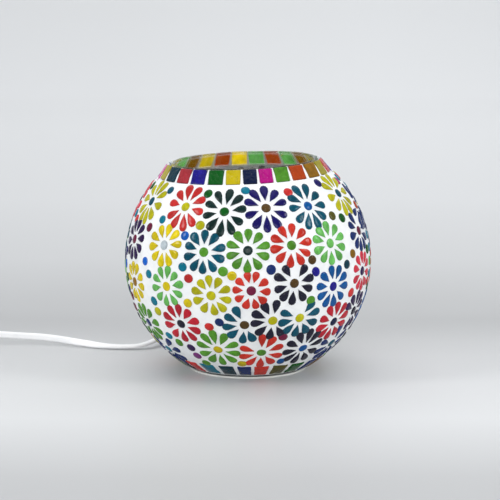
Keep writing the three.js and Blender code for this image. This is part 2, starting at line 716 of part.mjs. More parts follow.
function switchCover() {
  const from = SWITCH_BASE_HEIGHT + FIT_GAP;
  const length = 2 * (ROCKER_RADIUS + ROCKER_PLAY);
  const width = ROCKER_WIDTH + 2 * ROCKER_PLAY;
  const window = new THREE.BoxGeometry(length, width, 12);
  window.translate(switchMiddle.x, switchMiddle.y, from + SWITCH_COVER_HEIGHT);
  const shell = switchShell(from, SWITCH_COVER_HEIGHT, false);
  return named('switch_cover', cut(shell, cordPassage(), window), WHITE_PLASTIC);
}

function switchRocker() {
  const outline = new THREE.Shape();
  const rise = rad(30);
  outline.moveTo(0, 2.6);
  outline.lineTo(-ROCKER_RADIUS * Math.cos(rise), ROCKER_RADIUS * Math.sin(rise));
  outline.absarc(0, 0, ROCKER_RADIUS, Math.PI - rise, Math.PI + rad(12), false);
  outline.lineTo(0, -2.4);
  outline.absarc(0, 0, ROCKER_RADIUS, -rad(12), rise, false);
  outline.closePath();
  const rocker = new THREE.ExtrudeGeometry(outline, {
    depth: ROCKER_WIDTH,
    bevelEnabled: false,
    curveSegments: 5,
  });
  rocker.translate(0, 0, -ROCKER_WIDTH / 2).rotateX(Math.PI / 2).rotateY(rad(ROCKER_TILT));
  rocker.translate(switchMiddle.x, switchMiddle.y, rockerPivotZ);
  return named('switch_rocker', rocker, WHITE_PLASTIC);
}

function switchScrew(name, place) {
  const head = SCREW_HEAD_DIAMETER / 2;
  const shank = SCREW_SHANK_DIAMETER / 2;
  const outline = [[0, 0.1], [head, 0.1], [head, 0.8], [shank, 0.8], [shank, 5.5], [0, 5.5]];
  return named(name, turned(outline, 16).translate(place.x, place.y, 0), STEEL);
}

// ---------------------------------------------------------------- plug
function plug() {
  const middle = coilMiddle.y - COIL_TURN_RADIUS;
  const tailX = coilMiddle.x
    + Math.sqrt(coilOuter ** 2 - (COIL_TURN_RADIUS - PLUG_TAIL_DIAMETER / 2 - FIT_GAP) ** 2) + FIT_GAP;
  const backX = tailX + PLUG_TAIL_LENGTH;
  const faceX = backX + PLUG_LENGTH;
  const half = PLUG_WIDTH / 2;
  const nose = PLUG_NOSE / 2;
  const outline = new THREE.Shape();
  const corners = [
    [backX, -6], [backX + 9, -half], [backX + 20, -half], [faceX, -nose],
    [faceX, nose], [backX + 20, half], [backX + 9, half], [backX, 6],
  ];
  corners.forEach(([x, y], i) => outline[i ? 'lineTo' : 'moveTo'](x, y));
  outline.closePath();
  const edge = 1;
  const block = new THREE.ExtrudeGeometry(outline, {
    depth: PLUG_HEIGHT - 2 * edge,
    bevelThickness: edge,
    bevelSize: edge,
    bevelOffset: -edge,
    bevelSegments: 2,
  });
  block.translate(0, 0, edge);
  const tail = turned([
    [0, 0], [PLUG_TAIL_DIAMETER / 2, 0], [PLUG_TAIL_DIAMETER / 2 + 2.2, PLUG_TAIL_LENGTH + 4],
    [0, PLUG_TAIL_LENGTH + 4],
  ], 16).rotateY(Math.PI / 2).translate(tailX, 0, PLUG_HEIGHT / 2);
  const body = toGeometry(toSolid(block).add(toSolid(tail))).translate(0, middle, 0);
  const pins = [['plug_pin_line', 1], ['plug_pin_neutral', -1]].map(([name, side]) => {
    const pin = turned([
      [0, 0], [PIN_DIAMETER / 2, 0], [PIN_DIAMETER / 2, PIN_LENGTH - 1], [PIN_DIAMETER / 2 - 1, PIN_LENGTH],
      [0, PIN_LENGTH],
    ], 12).rotateY(Math.PI / 2);
    pin.translate(faceX + FIT_GAP, middle + side * PIN_SPACING / 2, PLUG_HEIGHT / 2);
    return named(name, pin, BRASS);
  });
  return [named('plug_body', body, WHITE_PLASTIC), ...pins];
}

// ---------------------------------------------------------------- assembly
const lamp = new THREE.Group();
lamp.add(basePlate(), baseGasket(), stud(), globe(), mosaicField(), rimTiles());
lamp.add(washer('seal_washer', sealZ, SEAL_THICKNESS, DARK_SEAL));
lamp.add(washer('clamp_washer', washerZ, WASHER_THICKNESS, STEEL));
lamp.add(clampNut(), holderBase(), holderCore(), centreContact(), screwShell(), holderSleeve());
lamp.add(terminalScrew('terminal_screw_line', 1), terminalScrew('terminal_screw_neutral', -1));
lamp.add(bulbTip(), bulbInsulator(), bulbCap(), bulbGlass());
lamp.add(grommet(), innerCord(), cordRun(), cordLink(), cordCoil());
lamp.add(switchBase(), switchCover(), switchRocker());
screwPlaces().forEach((place, i) => lamp.add(switchScrew(`switch_screw_${i + 1}`, place)));
lamp.add(...plug());

export default lamp;
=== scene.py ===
"""A mosaic glass table lamp: a leaning glass globe set with glass blossoms in white grout.

Metres, +Z up, the origin at the middle of the base, the lamp's front towards -Y.
"""

import json
import logging
import math
from dataclasses import dataclass, field
from enum import Enum
from functools import cached_property

import bpy
import numpy as np
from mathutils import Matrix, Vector


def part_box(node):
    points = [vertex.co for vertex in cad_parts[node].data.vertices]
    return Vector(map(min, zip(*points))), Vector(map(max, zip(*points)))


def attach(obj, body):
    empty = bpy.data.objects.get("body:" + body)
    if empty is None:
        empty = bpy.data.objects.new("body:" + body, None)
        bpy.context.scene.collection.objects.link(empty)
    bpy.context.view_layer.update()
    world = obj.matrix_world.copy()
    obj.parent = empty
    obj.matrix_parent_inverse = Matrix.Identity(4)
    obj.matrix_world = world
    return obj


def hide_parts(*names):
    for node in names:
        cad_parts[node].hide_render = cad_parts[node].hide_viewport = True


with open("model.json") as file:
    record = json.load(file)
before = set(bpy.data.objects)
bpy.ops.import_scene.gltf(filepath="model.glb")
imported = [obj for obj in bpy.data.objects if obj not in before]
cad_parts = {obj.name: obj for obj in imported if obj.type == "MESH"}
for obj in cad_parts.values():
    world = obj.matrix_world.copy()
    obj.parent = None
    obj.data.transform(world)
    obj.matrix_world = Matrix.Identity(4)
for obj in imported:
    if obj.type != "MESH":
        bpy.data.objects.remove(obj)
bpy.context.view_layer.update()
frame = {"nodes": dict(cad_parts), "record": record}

Array = np.ndarray
Socket = bpy.types.NodeSocket
Colour = tuple[float, float, float, float]
Triple = tuple[float, float, float]
Pair = tuple[float, float]
Thing = bpy.types.Object
Node = bpy.types.Node
Draw = np.random.Generator

LOG = logging.getLogger("mosaic_lamp")
MM = 0.001
BODY = "lamp"
BULB = "bulb"
ROCKER = "rocker"
UP = (0.0, 0.0, 1.0)
SIDE_SHARE = 0.49
RIPPLE_WAVES = 6
RIPPLE_GAIN = 1.6
PATH_STEPS = 24


# ------------------------------------------------------------------ surfaces
@dataclass
class Surface:
    """A closed shape: its points, its four-sided and three-sided faces, and values held at its points."""

    points: Array
    quads: Array
    triangles: Array
    values: dict[str, Array] = field(default_factory=dict)

    def outward(self) -> "Surface":
        """Turns every face over if the shape's signed volume is negative.

        The volume is a sixth of the sum, over all triangles, of the triple product of their corners.

        Returns:
            The same surface with faces that point out.
        """
        halves = [self.triangles, self.quads[:, :3], self.quads[:, [0, 2, 3]]]
        corners = self.points[np.concatenate(halves)]
        crossed = np.cross(corners[:, 1], corners[:, 2])
        if np.einsum("ij,ij->", corners[:, 0], crossed) < 0:
            self.quads = self.quads[:, ::-1]
            self.triangles = self.triangles[:, ::-1]
        return self

    @staticmethod
    def joined(surfaces: list["Surface"]) -> "Surface":
        """Puts several surfaces into one, each shifted past the points of those before it.

        Args:
            surfaces: surfaces that hold the same named values.

        Returns:
            One surface with all their points and faces.
        """
        sizes = [len(surface.points) for surface in surfaces]
        shifts = np.cumsum([0, *sizes[:-1]])
        names = surfaces[0].values
        return Surface(
            np.concatenate([surface.points for surface in surfaces]),
            np.concatenate([surface.quads + shift for surface, shift in zip(surfaces, shifts)]),
            np.concatenate([surface.triangles + shift for surface, shift in zip(surfaces, shifts)]),
            {name: np.concatenate([surface.values[name] for surface in surfaces]) for name in names},
        )


def stacked(rings: Array, capped: bool = True, **values: Array) -> Surface:
    """Joins rings of points into closed shapes.

    Neighbouring rings are joined by quads. A capped shape closes its first and last ring with a fan
    to the ring's mean point; an uncapped one joins its last ring to its first, as a washer does.

    Args:
        rings: points as (ring, place round it, 3), or (shape, ring, place, 3) for many like shapes.
        capped: whether the ends are closed with fans.
        values: one number for each ring or point of the rings, by name.

    Returns:
        One surface that holds every shape.
    """
    rings = rings if rings.ndim == 4 else rings[None]
    shapes, high, around, _ = rings.shape
    index = np.arange(high * around).reshape(high, around)
    rows = index if capped else np.vstack([index, index[:1]])
    low, top = rows[:-1], rows[1:]
    quads = np.stack([low, np.roll(low, -1, 1), np.roll(top, -1, 1), top], -1).reshape(-1, 4)
    each = high * around + (2 if capped else 0)
    points = rings.reshape(shapes, -1, 3)
    triangles = np.zeros((0, 3), int)
    if capped:
        ends = rings[:, [0, -1]].mean(2)
        points = np.concatenate([points, ends], 1)
        first, last = index[0], index[-1]
        under = np.stack([np.roll(first, -1), first, np.full(around, each - 2)], -1)
        over = np.stack([last, np.roll(last, -1), np.full(around, each - 1)], -1)
        triangles = np.concatenate([under, over])
    shift = (np.arange(shapes) * each)[:, None, None]
    held = {}
    for name, value in values.items():
        whole = np.broadcast_to(value, (shapes, high, around)).reshape(shapes, -1)
        if capped:
            end = np.broadcast_to(value, (shapes, high, around))[:, [0, -1]].mean(2)
            whole = np.concatenate([whole, end], 1)
        held[name] = whole.reshape(-1)
    surface = Surface(
        points.reshape(-1, 3),
        (quads[None] + shift).reshape(-1, 4),
        (triangles[None] + shift).reshape(-1, 3),
        held,
    )
    return surface.outward()


def full_turn(steps: int) -> Array:
    """Evenly spaced angles once round, without the last."""
    return np.linspace(0, 2 * math.pi, steps, endpoint=False)


def bend(t: Array, start: Array, middle: Array, end: Array) -> Array:
    """The curve (1-t)^2 start + 2t(1-t) middle + t^2 end."""
    return (1 - t) ** 2 * start + 2 * t * (1 - t) * middle + t**2 * end


def powered(wave: Array, power: Array | float) -> Array:
    """A wave's size raised to a power, with its sign kept."""
    return np.sign(wave) * np.abs(wave) ** power


def rounded(corners: Array, radius: float | Array, steps: int = 4) -> Array:
    """Rounds the corners of a closed outline.

    Each corner becomes a bend between places on its two sides, which lie a radius from it, or at most
    SIDE_SHARE of the side's length.

    Args:
        corners: the corners in order, as (corner, 2).
        radius: how far the rounding reaches along each side, one value or one for each corner.
        steps: spans in each rounding.

    Returns:
        The outline's points in order.
    """
    reach = np.broadcast_to(radius, len(corners))[:, None]
    back = np.roll(corners, 1, 0) - corners
    on = np.roll(corners, -1, 0) - corners
    back_length = np.linalg.norm(back, axis=1, keepdims=True)
    on_length = np.linalg.norm(on, axis=1, keepdims=True)
    start = corners + back * np.minimum(reach / back_length, SIDE_SHARE)
    end = corners + on * np.minimum(reach / on_length, SIDE_SHARE)
    t = np.linspace(0, 1, steps + 1)[None, :, None]
    return bend(t, start[:, None], corners[:, None], end[:, None]).reshape(-1, 2)


def turned(outline: Array, steps: int = 96) -> Array:
    """Carries an outline of (radius, height) round the Z axis.

    The point at angle a is (radius cos a, radius sin a, height).

    Args:
        outline: the outline's points in order.
        steps: places round the axis.

    Returns:
        Rings as (outline point, place round the axis, 3).
    """
    angle = full_turn(steps)
    radius, height = outline[:, 0, None], outline[:, 1, None]
    return np.stack([radius * np.cos(angle), radius * np.sin(angle), height + 0 * angle], -1)


def washer(inner: float, outer: float, low: float, high: float, edge: float) -> Surface:
    """A flat ring with rounded edges: its section is a rectangle, carried round the Z axis."""
    corners = np.array([[inner, low], [outer, low], [outer, high], [inner, high]])
    return stacked(turned(rounded(corners, edge)), capped=False)


def smoothstep(value: Array | float, low: float, high: float) -> Array:
    """Rises from 0 at low to 1 at high as 3t^2 - 2t^3."""
    t = np.clip((np.asarray(value) - low) / (high - low), 0, 1)
    return t * t * (3 - 2 * t)


def plateau(value: Array, rise_from: float, rise_to: float, fall_from: float, fall_to: float) -> Array:
    """Rises from 0 to 1, stays there and falls back to 0."""
    return smoothstep(value, rise_from, rise_to) * (1 - smoothstep(value, fall_from, fall_to))


def grooves(place: Array, pitch: float) -> Array:
    """Rounded grooves along a line: 1 at the bottom of each, 0 between them."""
    return smoothstep(np.cos(2 * math.pi * place / pitch), 0.1, 0.8)


def drawn_in(rings: Array, fall: Array) -> Array:
    """Moves points some way in towards the Z axis."""
    reach = np.maximum(np.linalg.norm(rings[..., :2], axis=-1), 1e-6)
    rings[..., :2] *= (1 - fall / reach)[..., None]
    return rings


def threaded(outline: Array, spans: tuple, pitch: float, depth: float) -> Surface:
    """Turns an outline into a hollow shape whose marked points follow a thread.

    At angle a and height z the radius falls by depth (1 + cos(a - 2 pi z / pitch)) / 2.

    Args:
        outline: (radius, height) points.
        spans: the first point, and the one past the last, of each stretch where the thread runs.
        pitch: the rise in one turn.
        depth: the thread's depth.

    Returns:
        The shape.
    """
    cut = np.zeros(len(outline))
    for first, past in spans:
        cut[first:past] = 1
    rings = turned(outline)
    angle = np.arctan2(rings[..., 1], rings[..., 0])
    wave = (1 + np.cos(angle - 2 * math.pi * rings[..., 2] / pitch)) / 2
    return stacked(drawn_in(rings, depth * wave * cut[:, None]), capped=False)


def ripple(points: Array, wave: float, seed: int) -> Array:
    """A smooth uneven height between about -1 and 1: sine waves in fixed random directions.

    Args:
        points: places, as (..., 3).
        wave: typical wave length.
        seed: which set of directions.

    Returns:
        The height at each place.
    """
    draw = np.random.default_rng(seed)
    way = unit(draw.normal(size=(RIPPLE_WAVES, 3))) * draw.uniform(0.7, 1.5, (RIPPLE_WAVES, 1))
    way = way * 2 * math.pi / wave
    phase = draw.uniform(0, 2 * math.pi, RIPPLE_WAVES)
    return np.sin(points @ way.T + phase).mean(-1) * RIPPLE_GAIN


def unit(vectors: Array) -> Array:
    """Vectors scaled to length one."""
    return vectors / np.linalg.norm(vectors, axis=-1, keepdims=True)


def smooth_path(points: Array, spacing: float = 1.2 * MM) -> Array:
    """A smooth line through points: Catmull-Rom spans, then evenly spaced along the line.

    Between points b and c the span is 0.5 (2b + (c-a)t + (2a-5b+4c-d)t^2 + (3b-a-3c+d)t^3).

    Args:
        points: places the line passes, as (place, 3).
        spacing: distance between the places returned.

    Returns:
        Places along the line, as (place, 3).
    """
    ends = np.vstack([2 * points[0] - points[1], points, 2 * points[-1] - points[-2]])
    a, b, c, d = (ends[i : len(ends) - 3 + i][:, None] for i in range(4))
    t = np.linspace(0, 1, PATH_STEPS, endpoint=False)[None, :, None]
    span = 2 * b + (c - a) * t + (2 * a - 5 * b + 4 * c - d) * t**2 + (3 * b - a - 3 * c + d) * t**3
    line = np.vstack([(span / 2).reshape(-1, 3), points[-1:]])
    run = np.concatenate([[0], np.cumsum(np.linalg.norm(np.diff(line, axis=0), axis=1))])
    even = np.linspace(0, run[-1], max(int(run[-1] / spacing), 4))
    return np.stack([np.interp(even, run, line[:, k]) for k in range(3)], -1)


def carried(path: Array, section: Array, roll: Array | float = 0.0) -> Surface:
    """Carries a section along a path as a closed tube.

    At each place the section's first axis lies level and square to the path, and its second axis is
    square to both; the roll turns the two about the path.

    Args:
        path: places in order, as (place, 3).
        section: the section's outline, as (point, 2).
        roll: the turn about the path, in radians.

    Returns:
        The tube.
    """
    along = unit(np.gradient(path, axis=0))
    side = unit(np.cross(along, UP))
    over = np.cross(side, along)
    turn = np.broadcast_to(roll, len(path))[:, None]
    wide = side * np.cos(turn) + over * np.sin(turn)
    deep = over * np.cos(turn) - side * np.sin(turn)
    offset = wide[:, None] * section[None, :, :1] + deep[:, None] * section[None, :, 1:]
    return stacked(path[:, None] + offset)


# ------------------------------------------------------------------ shader helpers
FULL = 255
SCREEN_OFFSET = 0.055
SCREEN_KNEE = 0.0904
SCREEN_POWER = 2.4
SCREEN_SLOPE = 12.92


def tone(red: float, green: float, blue: float) -> Colour:
    """A screen colour of 0 to 255 as the linear colour that shaders take.

    A share c becomes ((c + 0.055) / 1.055)^2.4, or c / 12.92 where it is small.
    """
    given = np.array([red, green, blue]) / FULL
    shares = (given + SCREEN_OFFSET) / (1 + SCREEN_OFFSET)
    linear = np.where(shares > SCREEN_KNEE, shares**SCREEN_POWER, given / SCREEN_SLOPE)
    return (*(float(share) for share in linear), 1.0)


def scaled(colour: Colour, factor: float) -> Colour:
    """A colour made lighter or darker, up to full."""
    return (*(min(share * factor, 1.0) for share in colour[:3]), 1.0)


class Sheet:
    """A node tree being filled in."""

    def __init__(self, tree: bpy.types.NodeTree) -> None:
        """Starts on a node tree."""
        self.tree = tree

    def add(self, kind: str, inputs: dict[str | int, object] | None = None, **settings: object):
        """Adds a node.

        Args:
            kind: the node's type.
            inputs: values or sockets for its inputs, by name or place.
            settings: the node's own settings.

        Returns:
            The node.
        """
        node = self.tree.nodes.new(kind)
        for name, value in settings.items():
            setattr(node, name, value)
        for name, value in (inputs or {}).items():
            self.put(node.inputs[name], value)
        return node

    def put(self, socket: Socket, value: object) -> None:
        """Sets an input to a value, or links a socket to it."""
        if isinstance(value, bpy.types.NodeSocket):
            self.tree.links.new(value, socket)
        else:
            socket.default_value = value

    def mix(self, share: object, first: object, second: object, blend: str = "MIX") -> Socket:
        """Mixes two colours by a share of 0 to 1."""
        inputs = {0: share, 6: first, 7: second}
        return self.add("ShaderNodeMix", inputs, data_type="RGBA", blend_type=blend).outputs[2]

    def span(self, value: object, low: float, high: float, to_low: float, to_high: float) -> Socket:
        """Maps a value from one range to another, held at its ends."""
        inputs = {0: value, 1: low, 2: high, 3: to_low, 4: to_high}
        return self.add("ShaderNodeMapRange", inputs).outputs[0]

    def sum(self, kind: str, first: object, second: object) -> Socket:
        """A sum of two numbers, of the kind named."""
        return self.add("ShaderNodeMath", {0: first, 1: second}, operation=kind).outputs[0]

    def held(self, name: str) -> Socket:
        """A number held at the mesh's points."""
        return self.add("ShaderNodeAttribute", attribute_name=name).outputs["Fac"]

    def shaded(self, colour: object, light: Socket) -> Socket:
        """A colour made lighter or darker by a number."""
        grey = self.add("ShaderNodeCombineColor", {0: light, 1: light, 2: light}).outputs[0]
        return self.mix(1.0, colour, grey, "MULTIPLY")

    def group(self, tree: bpy.types.NodeTree, inputs: dict[str, object]) -> object:
        """Places a node group with its inputs, and gives its outputs."""
        return self.add("ShaderNodeGroup", inputs, node_tree=tree).outputs

    def noise(self, place: Socket, scale: object, detail: float = 2.0, bend: float = 0.0) -> Socket:
        """Cloudy noise of 0 to 1 over places."""
        inputs = {"Vector": place, "Scale": scale, "Detail": detail, "Distortion": bend}
        return self.add("ShaderNodeTexNoise", inputs).outputs[0]


def new_group(name: str, inputs: dict, outputs: list[str]) -> tuple[Sheet, dict[str, Socket], Node]:
    """Starts a shader node group with a Place input and named numbers.

    Args:
        name: the group's name.
        inputs: number inputs and their first values.
        outputs: the names of its number outputs.

    Returns:
        The sheet to fill, its input sockets by name, and its output node.
    """
    tree = bpy.data.node_groups.new(name, "ShaderNodeTree")
    tree.interface.new_socket("Place", in_out="INPUT", socket_type="NodeSocketVector")
    for title, value in inputs.items():
        socket = tree.interface.new_socket(title, in_out="INPUT", socket_type="NodeSocketFloat")
        socket.default_value = value
    for title in outputs:
        tree.interface.new_socket(title, in_out="OUTPUT", socket_type="NodeSocketFloat")
    sheet = Sheet(tree)
    source = sheet.add("NodeGroupInput")
    sink = sheet.add("NodeGroupOutput")
    return sheet, {socket.name: socket for socket in source.outputs if socket.name}, sink


CLOUD_RANGE = (0.3, 0.7)
LUMP_SHARE = 1.5
STREAK_STRETCH = (1.0, 1.0, 0.45)
STREAK_RANGE = (0.34, 0.66)
SEED_RANGE = (0.06, 0.16)
WAVE_SCALE = 2.6
SEED_SCALE = 5.0


def grain_group() -> bpy.types.NodeTree:
    """Builds the grain that moulded, painted, cast and metal pieces share.

    Returns:
        A group with Mottle, soft clouds of 0 to 1, and Height, fine grain over lumps.
    """
    sheet, given, sink = new_group("piece_grain", {"Cloud": 60.0, "Grain": 900.0}, ["Mottle", "Height"])
    cloud = sheet.noise(given["Place"], given["Cloud"], detail=4.0, bend=0.6)
    fine = sheet.noise(given["Place"], given["Grain"], detail=3.0)
    lumps = sheet.sum("MULTIPLY", cloud, LUMP_SHARE)
    sheet.put(sink.inputs["Mottle"], sheet.span(cloud, *CLOUD_RANGE, 0.0, 1.0))
    sheet.put(sink.inputs["Height"], sheet.sum("ADD", fine, lumps))
    return sheet.tree


def streak_group() -> bpy.types.NodeTree:
    """Builds the streaks, seed bubbles and hammered face that stained glass shares.

    Returns:
        A group with Streak and Seed, masks of 0 to 1, and Height, the waviness of the face.
    """
    sheet, given, sink = new_group("glass_streaks", {"Scale": 140.0}, ["Streak", "Seed", "Height"])
    place, scale = given["Place"], given["Scale"]
    long = sheet.add("ShaderNodeMapping", {"Vector": place, "Scale": STREAK_STRETCH}).outputs[0]
    streak = sheet.noise(long, scale, detail=3.0, bend=2.2)
    wave = sheet.noise(place, sheet.sum("MULTIPLY", scale, WAVE_SCALE), detail=1.0, bend=0.4)
    inputs = {"Vector": place, "Scale": sheet.sum("MULTIPLY", scale, SEED_SCALE)}
    bubbles = sheet.add("ShaderNodeTexVoronoi", inputs).outputs["Distance"]
    sheet.put(sink.inputs["Streak"], sheet.span(streak, *STREAK_RANGE, 0.0, 1.0))
    sheet.put(sink.inputs["Seed"], sheet.span(bubbles, *SEED_RANGE, 1.0, 0.0))
    sheet.put(sink.inputs["Height"], wave)
    return sheet.tree


GRAIN = grain_group()
STREAKS = streak_group()


@dataclass(frozen=True)
class Finish:
    """A finish that pieces take: its name and the record's slot that it stands for."""

    name: str
    slot: str

    def material(self) -> bpy.types.Material:
        """The finish's material, made the first time that it is asked for."""
        made = bpy.data.materials.get(self.name)
        if made is None:
            made = bpy.data.materials.new(self.name)
            made.use_nodes = True
            shader = made.node_tree.nodes["Principled BSDF"]
            self.dress(Sheet(made.node_tree), shader)
        return made

    def dress(self, sheet: Sheet, shader: Node) -> None:
        """Fills in the material's nodes; each kind of finish says how."""
        raise NotImplementedError

    @staticmethod
    def place(sheet: Sheet) -> Socket:
        """The place on the piece, in metres."""
        return sheet.add("ShaderNodeTexCoord").outputs["Object"]

    @staticmethod
    def bump(sheet: Sheet, shader: Node, height: Socket, strength: float, depth: float) -> None:
        """Feeds a height to the shader's normal."""
        inputs = {"Strength": strength, "Distance": depth, "Height": height}
        sheet.put(shader.inputs["Normal"], sheet.add("ShaderNodeBump", inputs).outputs[0])


@dataclass(frozen=True)
class Moulded(Finish):
    """An opaque finish: a colour that clouds towards a second one, with a fine grain."""

    colour: Colour = (0.8, 0.8, 0.8, 1.0)
    cloud_colour: Colour = (0.7, 0.7, 0.7, 1.0)
    roughness: Pair = (0.3, 0.5)
    metallic: float = 0.0
    coat: float = 0.0
    cloud: float = 60.0
    grain: float = 900.0
    depth: float = 0.05 * MM
    strength: float = 0.4
    subsurface: float = 0.0
    subsurface_reach: Triple = (4 * MM, 4 * MM, 3 * MM)

    def dress(self, sheet: Sheet, shader: Node) -> None:
        """Clouds the colour and roughness, and raises the grain."""
        inputs = {"Place": self.place(sheet), "Cloud": self.cloud, "Grain": self.grain}
        grain = sheet.group(GRAIN, inputs)
        mottle, height = grain["Mottle"], grain["Height"]
        sheet.put(shader.inputs["Base Color"], sheet.mix(mottle, self.colour, self.cloud_colour))
        sheet.put(shader.inputs["Roughness"], sheet.span(mottle, 0, 1, *self.roughness))
        shader.inputs["Metallic"].default_value = self.metallic
        shader.inputs["Coat Weight"].default_value = self.coat
        shader.inputs["Subsurface Weight"].default_value = self.subsurface
        shader.inputs["Subsurface Radius"].default_value = self.subsurface_reach
        self.bump(sheet, shader, height, self.strength, self.depth)


@dataclass(frozen=True)
class Paper(Finish):
    """The sweep's paper, with painted light and shade: it runs along the paper from front to back, darkest
    just behind the lamp, and a little across it.
    """

    painted_light_ramp: tuple[Pair, ...] = (
        # metres along the sweep from the lamp's axis, and the painted light and shade of the paper there
        (-0.40, 0.44), (-0.30, 0.475), (-0.16, 0.66), (-0.04, 0.62), (0.03, 0.59), (0.08, 0.545),
        (0.17, 0.435), (0.26, 0.465), (0.46, 0.57), (0.87, 0.67), (1.6, 0.73), (2.14, 0.75),
        (2.66, 0.7), (3.4, 0.7),
    )
    tint: Triple = (0.985, 1.0, 1.01)
    start: float = -0.5
    reach: float = 4.0
    side: float = 0.25
    side_painted_light_range: Pair = (0.975, 1.02)
    roughness: float = 0.45

    def dress(self, sheet: Sheet, shader: Node) -> None:
        """Sets the colour by a ramp of painted light and shade over depth plus height, painted a little
        lighter towards +X.
        """
        axes = sheet.add("ShaderNodeSeparateXYZ", {0: self.place(sheet)}).outputs
        along = sheet.sum("ADD", axes["Y"], axes["Z"])
        share = sheet.span(along, self.start, self.start + self.reach, 0.0, 1.0)
        # painted light and shade along the sweep, darkest just behind the lamp
        ramp = sheet.add("ShaderNodeValToRGB", {0: share})
        ramp.color_ramp.interpolation = "LINEAR"
        elements = ramp.color_ramp.elements
        while len(elements) < len(self.painted_light_ramp):
            elements.new(1.0)
        for element, (place, light) in zip(elements, self.painted_light_ramp):
            element.position = (place - self.start) / self.reach
            element.color = (*(light * share for share in self.tint), 1.0)
        # painted shade across the sweep: a little darker towards -X, lighter towards +X
        painted_side_light = sheet.span(axes["X"], -self.side, self.side, *self.side_painted_light_range)
        sheet.put(shader.inputs["Base Color"], sheet.shaded(ramp.outputs[0], painted_side_light))
        shader.inputs["Roughness"].default_value = self.roughness


@dataclass(frozen=True)
class Stained(Finish):
    """A batch of stained glass: streaked colour, with painted shade that deepens it at the cut edges, seed
    bubbles and a painted glow.
    """

    colour: Colour = (0.5, 0.1, 0.1, 1.0)
    streaking: float = 0.5
    brightness: float = 1.05
    clear: float = 0.0
    wave: float = 0.35
    # the strength of a painted glow given off in the glass's own colour
    lit: float = 0.0
    wave_depth: float = 0.6 * MM
    streak_depth: float = 0.45
    painted_shade_start: float = 0.55
    # edge_cover: how far the painted shade at the edges covers the colour
    edge_cover: float = 0.55
    painted_edge_shade: float = 0.55
    tint_shades: Pair = (0.8, 1.04)
    seed_cover: float = 0.3
    seed_light: float = 0.45
    roughness: Pair = (0.05, 0.16)
    index: float = 1.52
    specular: float = 0.18

    def dress(self, sheet: Sheet, shader: Node) -> None:
        """Streaks the colour, paints shade towards the edges, paints a glow and lets light through by the
        batch's clearness.
        """
        glass = sheet.group(STREAKS, {"Place": self.place(sheet)})
        deep = scaled(self.colour, 1 - self.streak_depth * self.streaking)
        bright = scaled(self.colour, self.brightness)
        body = sheet.mix(glass["Streak"], deep, bright)
        # painted shade: the colour darkens towards the cut edges as the edge value rises
        edge = sheet.span(sheet.held("edge"), self.painted_shade_start, 1.0, 0.0, self.edge_cover)
        body = sheet.mix(edge, body, scaled(self.colour, self.painted_edge_shade))
        body = sheet.shaded(body, sheet.span(sheet.held("tint"), 0.0, 1.0, *self.tint_shades))
        specks = sheet.sum("MULTIPLY", glass["Seed"], self.seed_cover)
        pale = (*(0.5 * share + self.seed_light for share in self.colour[:3]), 1.0)
        body = sheet.mix(specks, body, pale)
        sheet.put(shader.inputs["Base Color"], body)
        # painted glow: the glass gives off its own colour as light, by its glow strength
        sheet.put(shader.inputs["Emission Color"], body)
        shader.inputs["Emission Strength"].default_value = self.lit
        rough = sheet.span(glass["Height"], *CLOUD_RANGE, *self.roughness)
        sheet.put(shader.inputs["Roughness"], rough)
        shader.inputs["IOR"].default_value = self.index
        shader.inputs["Specular IOR Level"].default_value = self.specular
        shader.inputs["Transmission Weight"].default_value = self.clear
        self.bump(sheet, shader, glass["Height"], self.wave, self.wave_depth)


@dataclass(frozen=True)
class ClearGlass(Finish):
    """Clear blown glass, faintly green, and greener where its edge is cut."""

    colour: Colour = (0.955, 0.98, 0.965, 1.0)
    edge_colour: Colour = (0.5, 0.56, 0.42, 1.0)
    cover: float = 0.25
    edge_cover: float = 0.85
    scale: float = 35.0
    roughness: float = 0.04
    index: float = 1.5
    wave: float = 0.12
    wave_depth: float = 0.5 * MM

    def dress(self, sheet: Sheet, shader: Node) -> None:
        """Tints and thickens the cut edge, and ripples the face."""
        height = sheet.group(STREAKS, {"Place": self.place(sheet), "Scale": self.scale})["Height"]
        cut = sheet.held("cut")
        sheet.put(shader.inputs["Base Color"], sheet.mix(cut, self.colour, self.edge_colour))
        sheet.put(shader.inputs["Roughness"], sheet.span(height, 0, 1, 0.0, self.roughness))
        sheet.put(shader.inputs["Alpha"], sheet.span(cut, 0, 1, self.cover, self.edge_cover))
        shader.inputs["IOR"].default_value = self.index
        shader.inputs["Transmission Weight"].default_value = 1.0
        self.bump(sheet, shader, height, self.wave, self.wave_depth)


# ------------------------------------------------------------------ finishes
PAINT = Moulded(
    "enamel_white", "white_paint", tone(240, 240, 236), tone(228, 228, 223), (0.3, 0.42), coat=0.2
)
SEAL = Moulded("rubber_dark", "dark_seal", tone(44, 46, 48), tone(58, 60, 62), (0.7, 0.9))
CLEAR = ClearGlass("glass_clear", "clear_glass")
GROUT = Moulded(
    "grout_white", "grout", tone(246, 247, 247), tone(235, 238, 239), (0.55, 0.75),
    cloud=90.0, grain=1500.0, depth=0.12 * MM, strength=0.6, subsurface=0.08,
)
STEEL = Moulded("steel_zinc", "steel", tone(198, 201, 204), tone(172, 176, 181), (0.25, 0.42), metallic=1.0)
BRASS = Moulded("brass_satin", "brass", tone(214, 177, 96), tone(188, 146, 68), (0.22, 0.4), metallic=1.0)
HOLDER = Moulded("thermoset_cream", "holder_plastic", tone(232, 228, 214), tone(222, 216, 199), (0.3, 0.45))
STEATITE = Moulded("steatite", "ceramic", tone(238, 234, 224), tone(226, 221, 209), (0.5, 0.7))
OPAL = Moulded(
    "glass_opal", "opal_glass", tone(250, 247, 240), tone(244, 240, 230), (0.08, 0.14),
    coat=0.5, subsurface=0.3, strength=0.1,
)
INSULATOR = Moulded("glass_black", "black_glass", tone(24, 24, 26), tone(38, 38, 42), (0.1, 0.25))
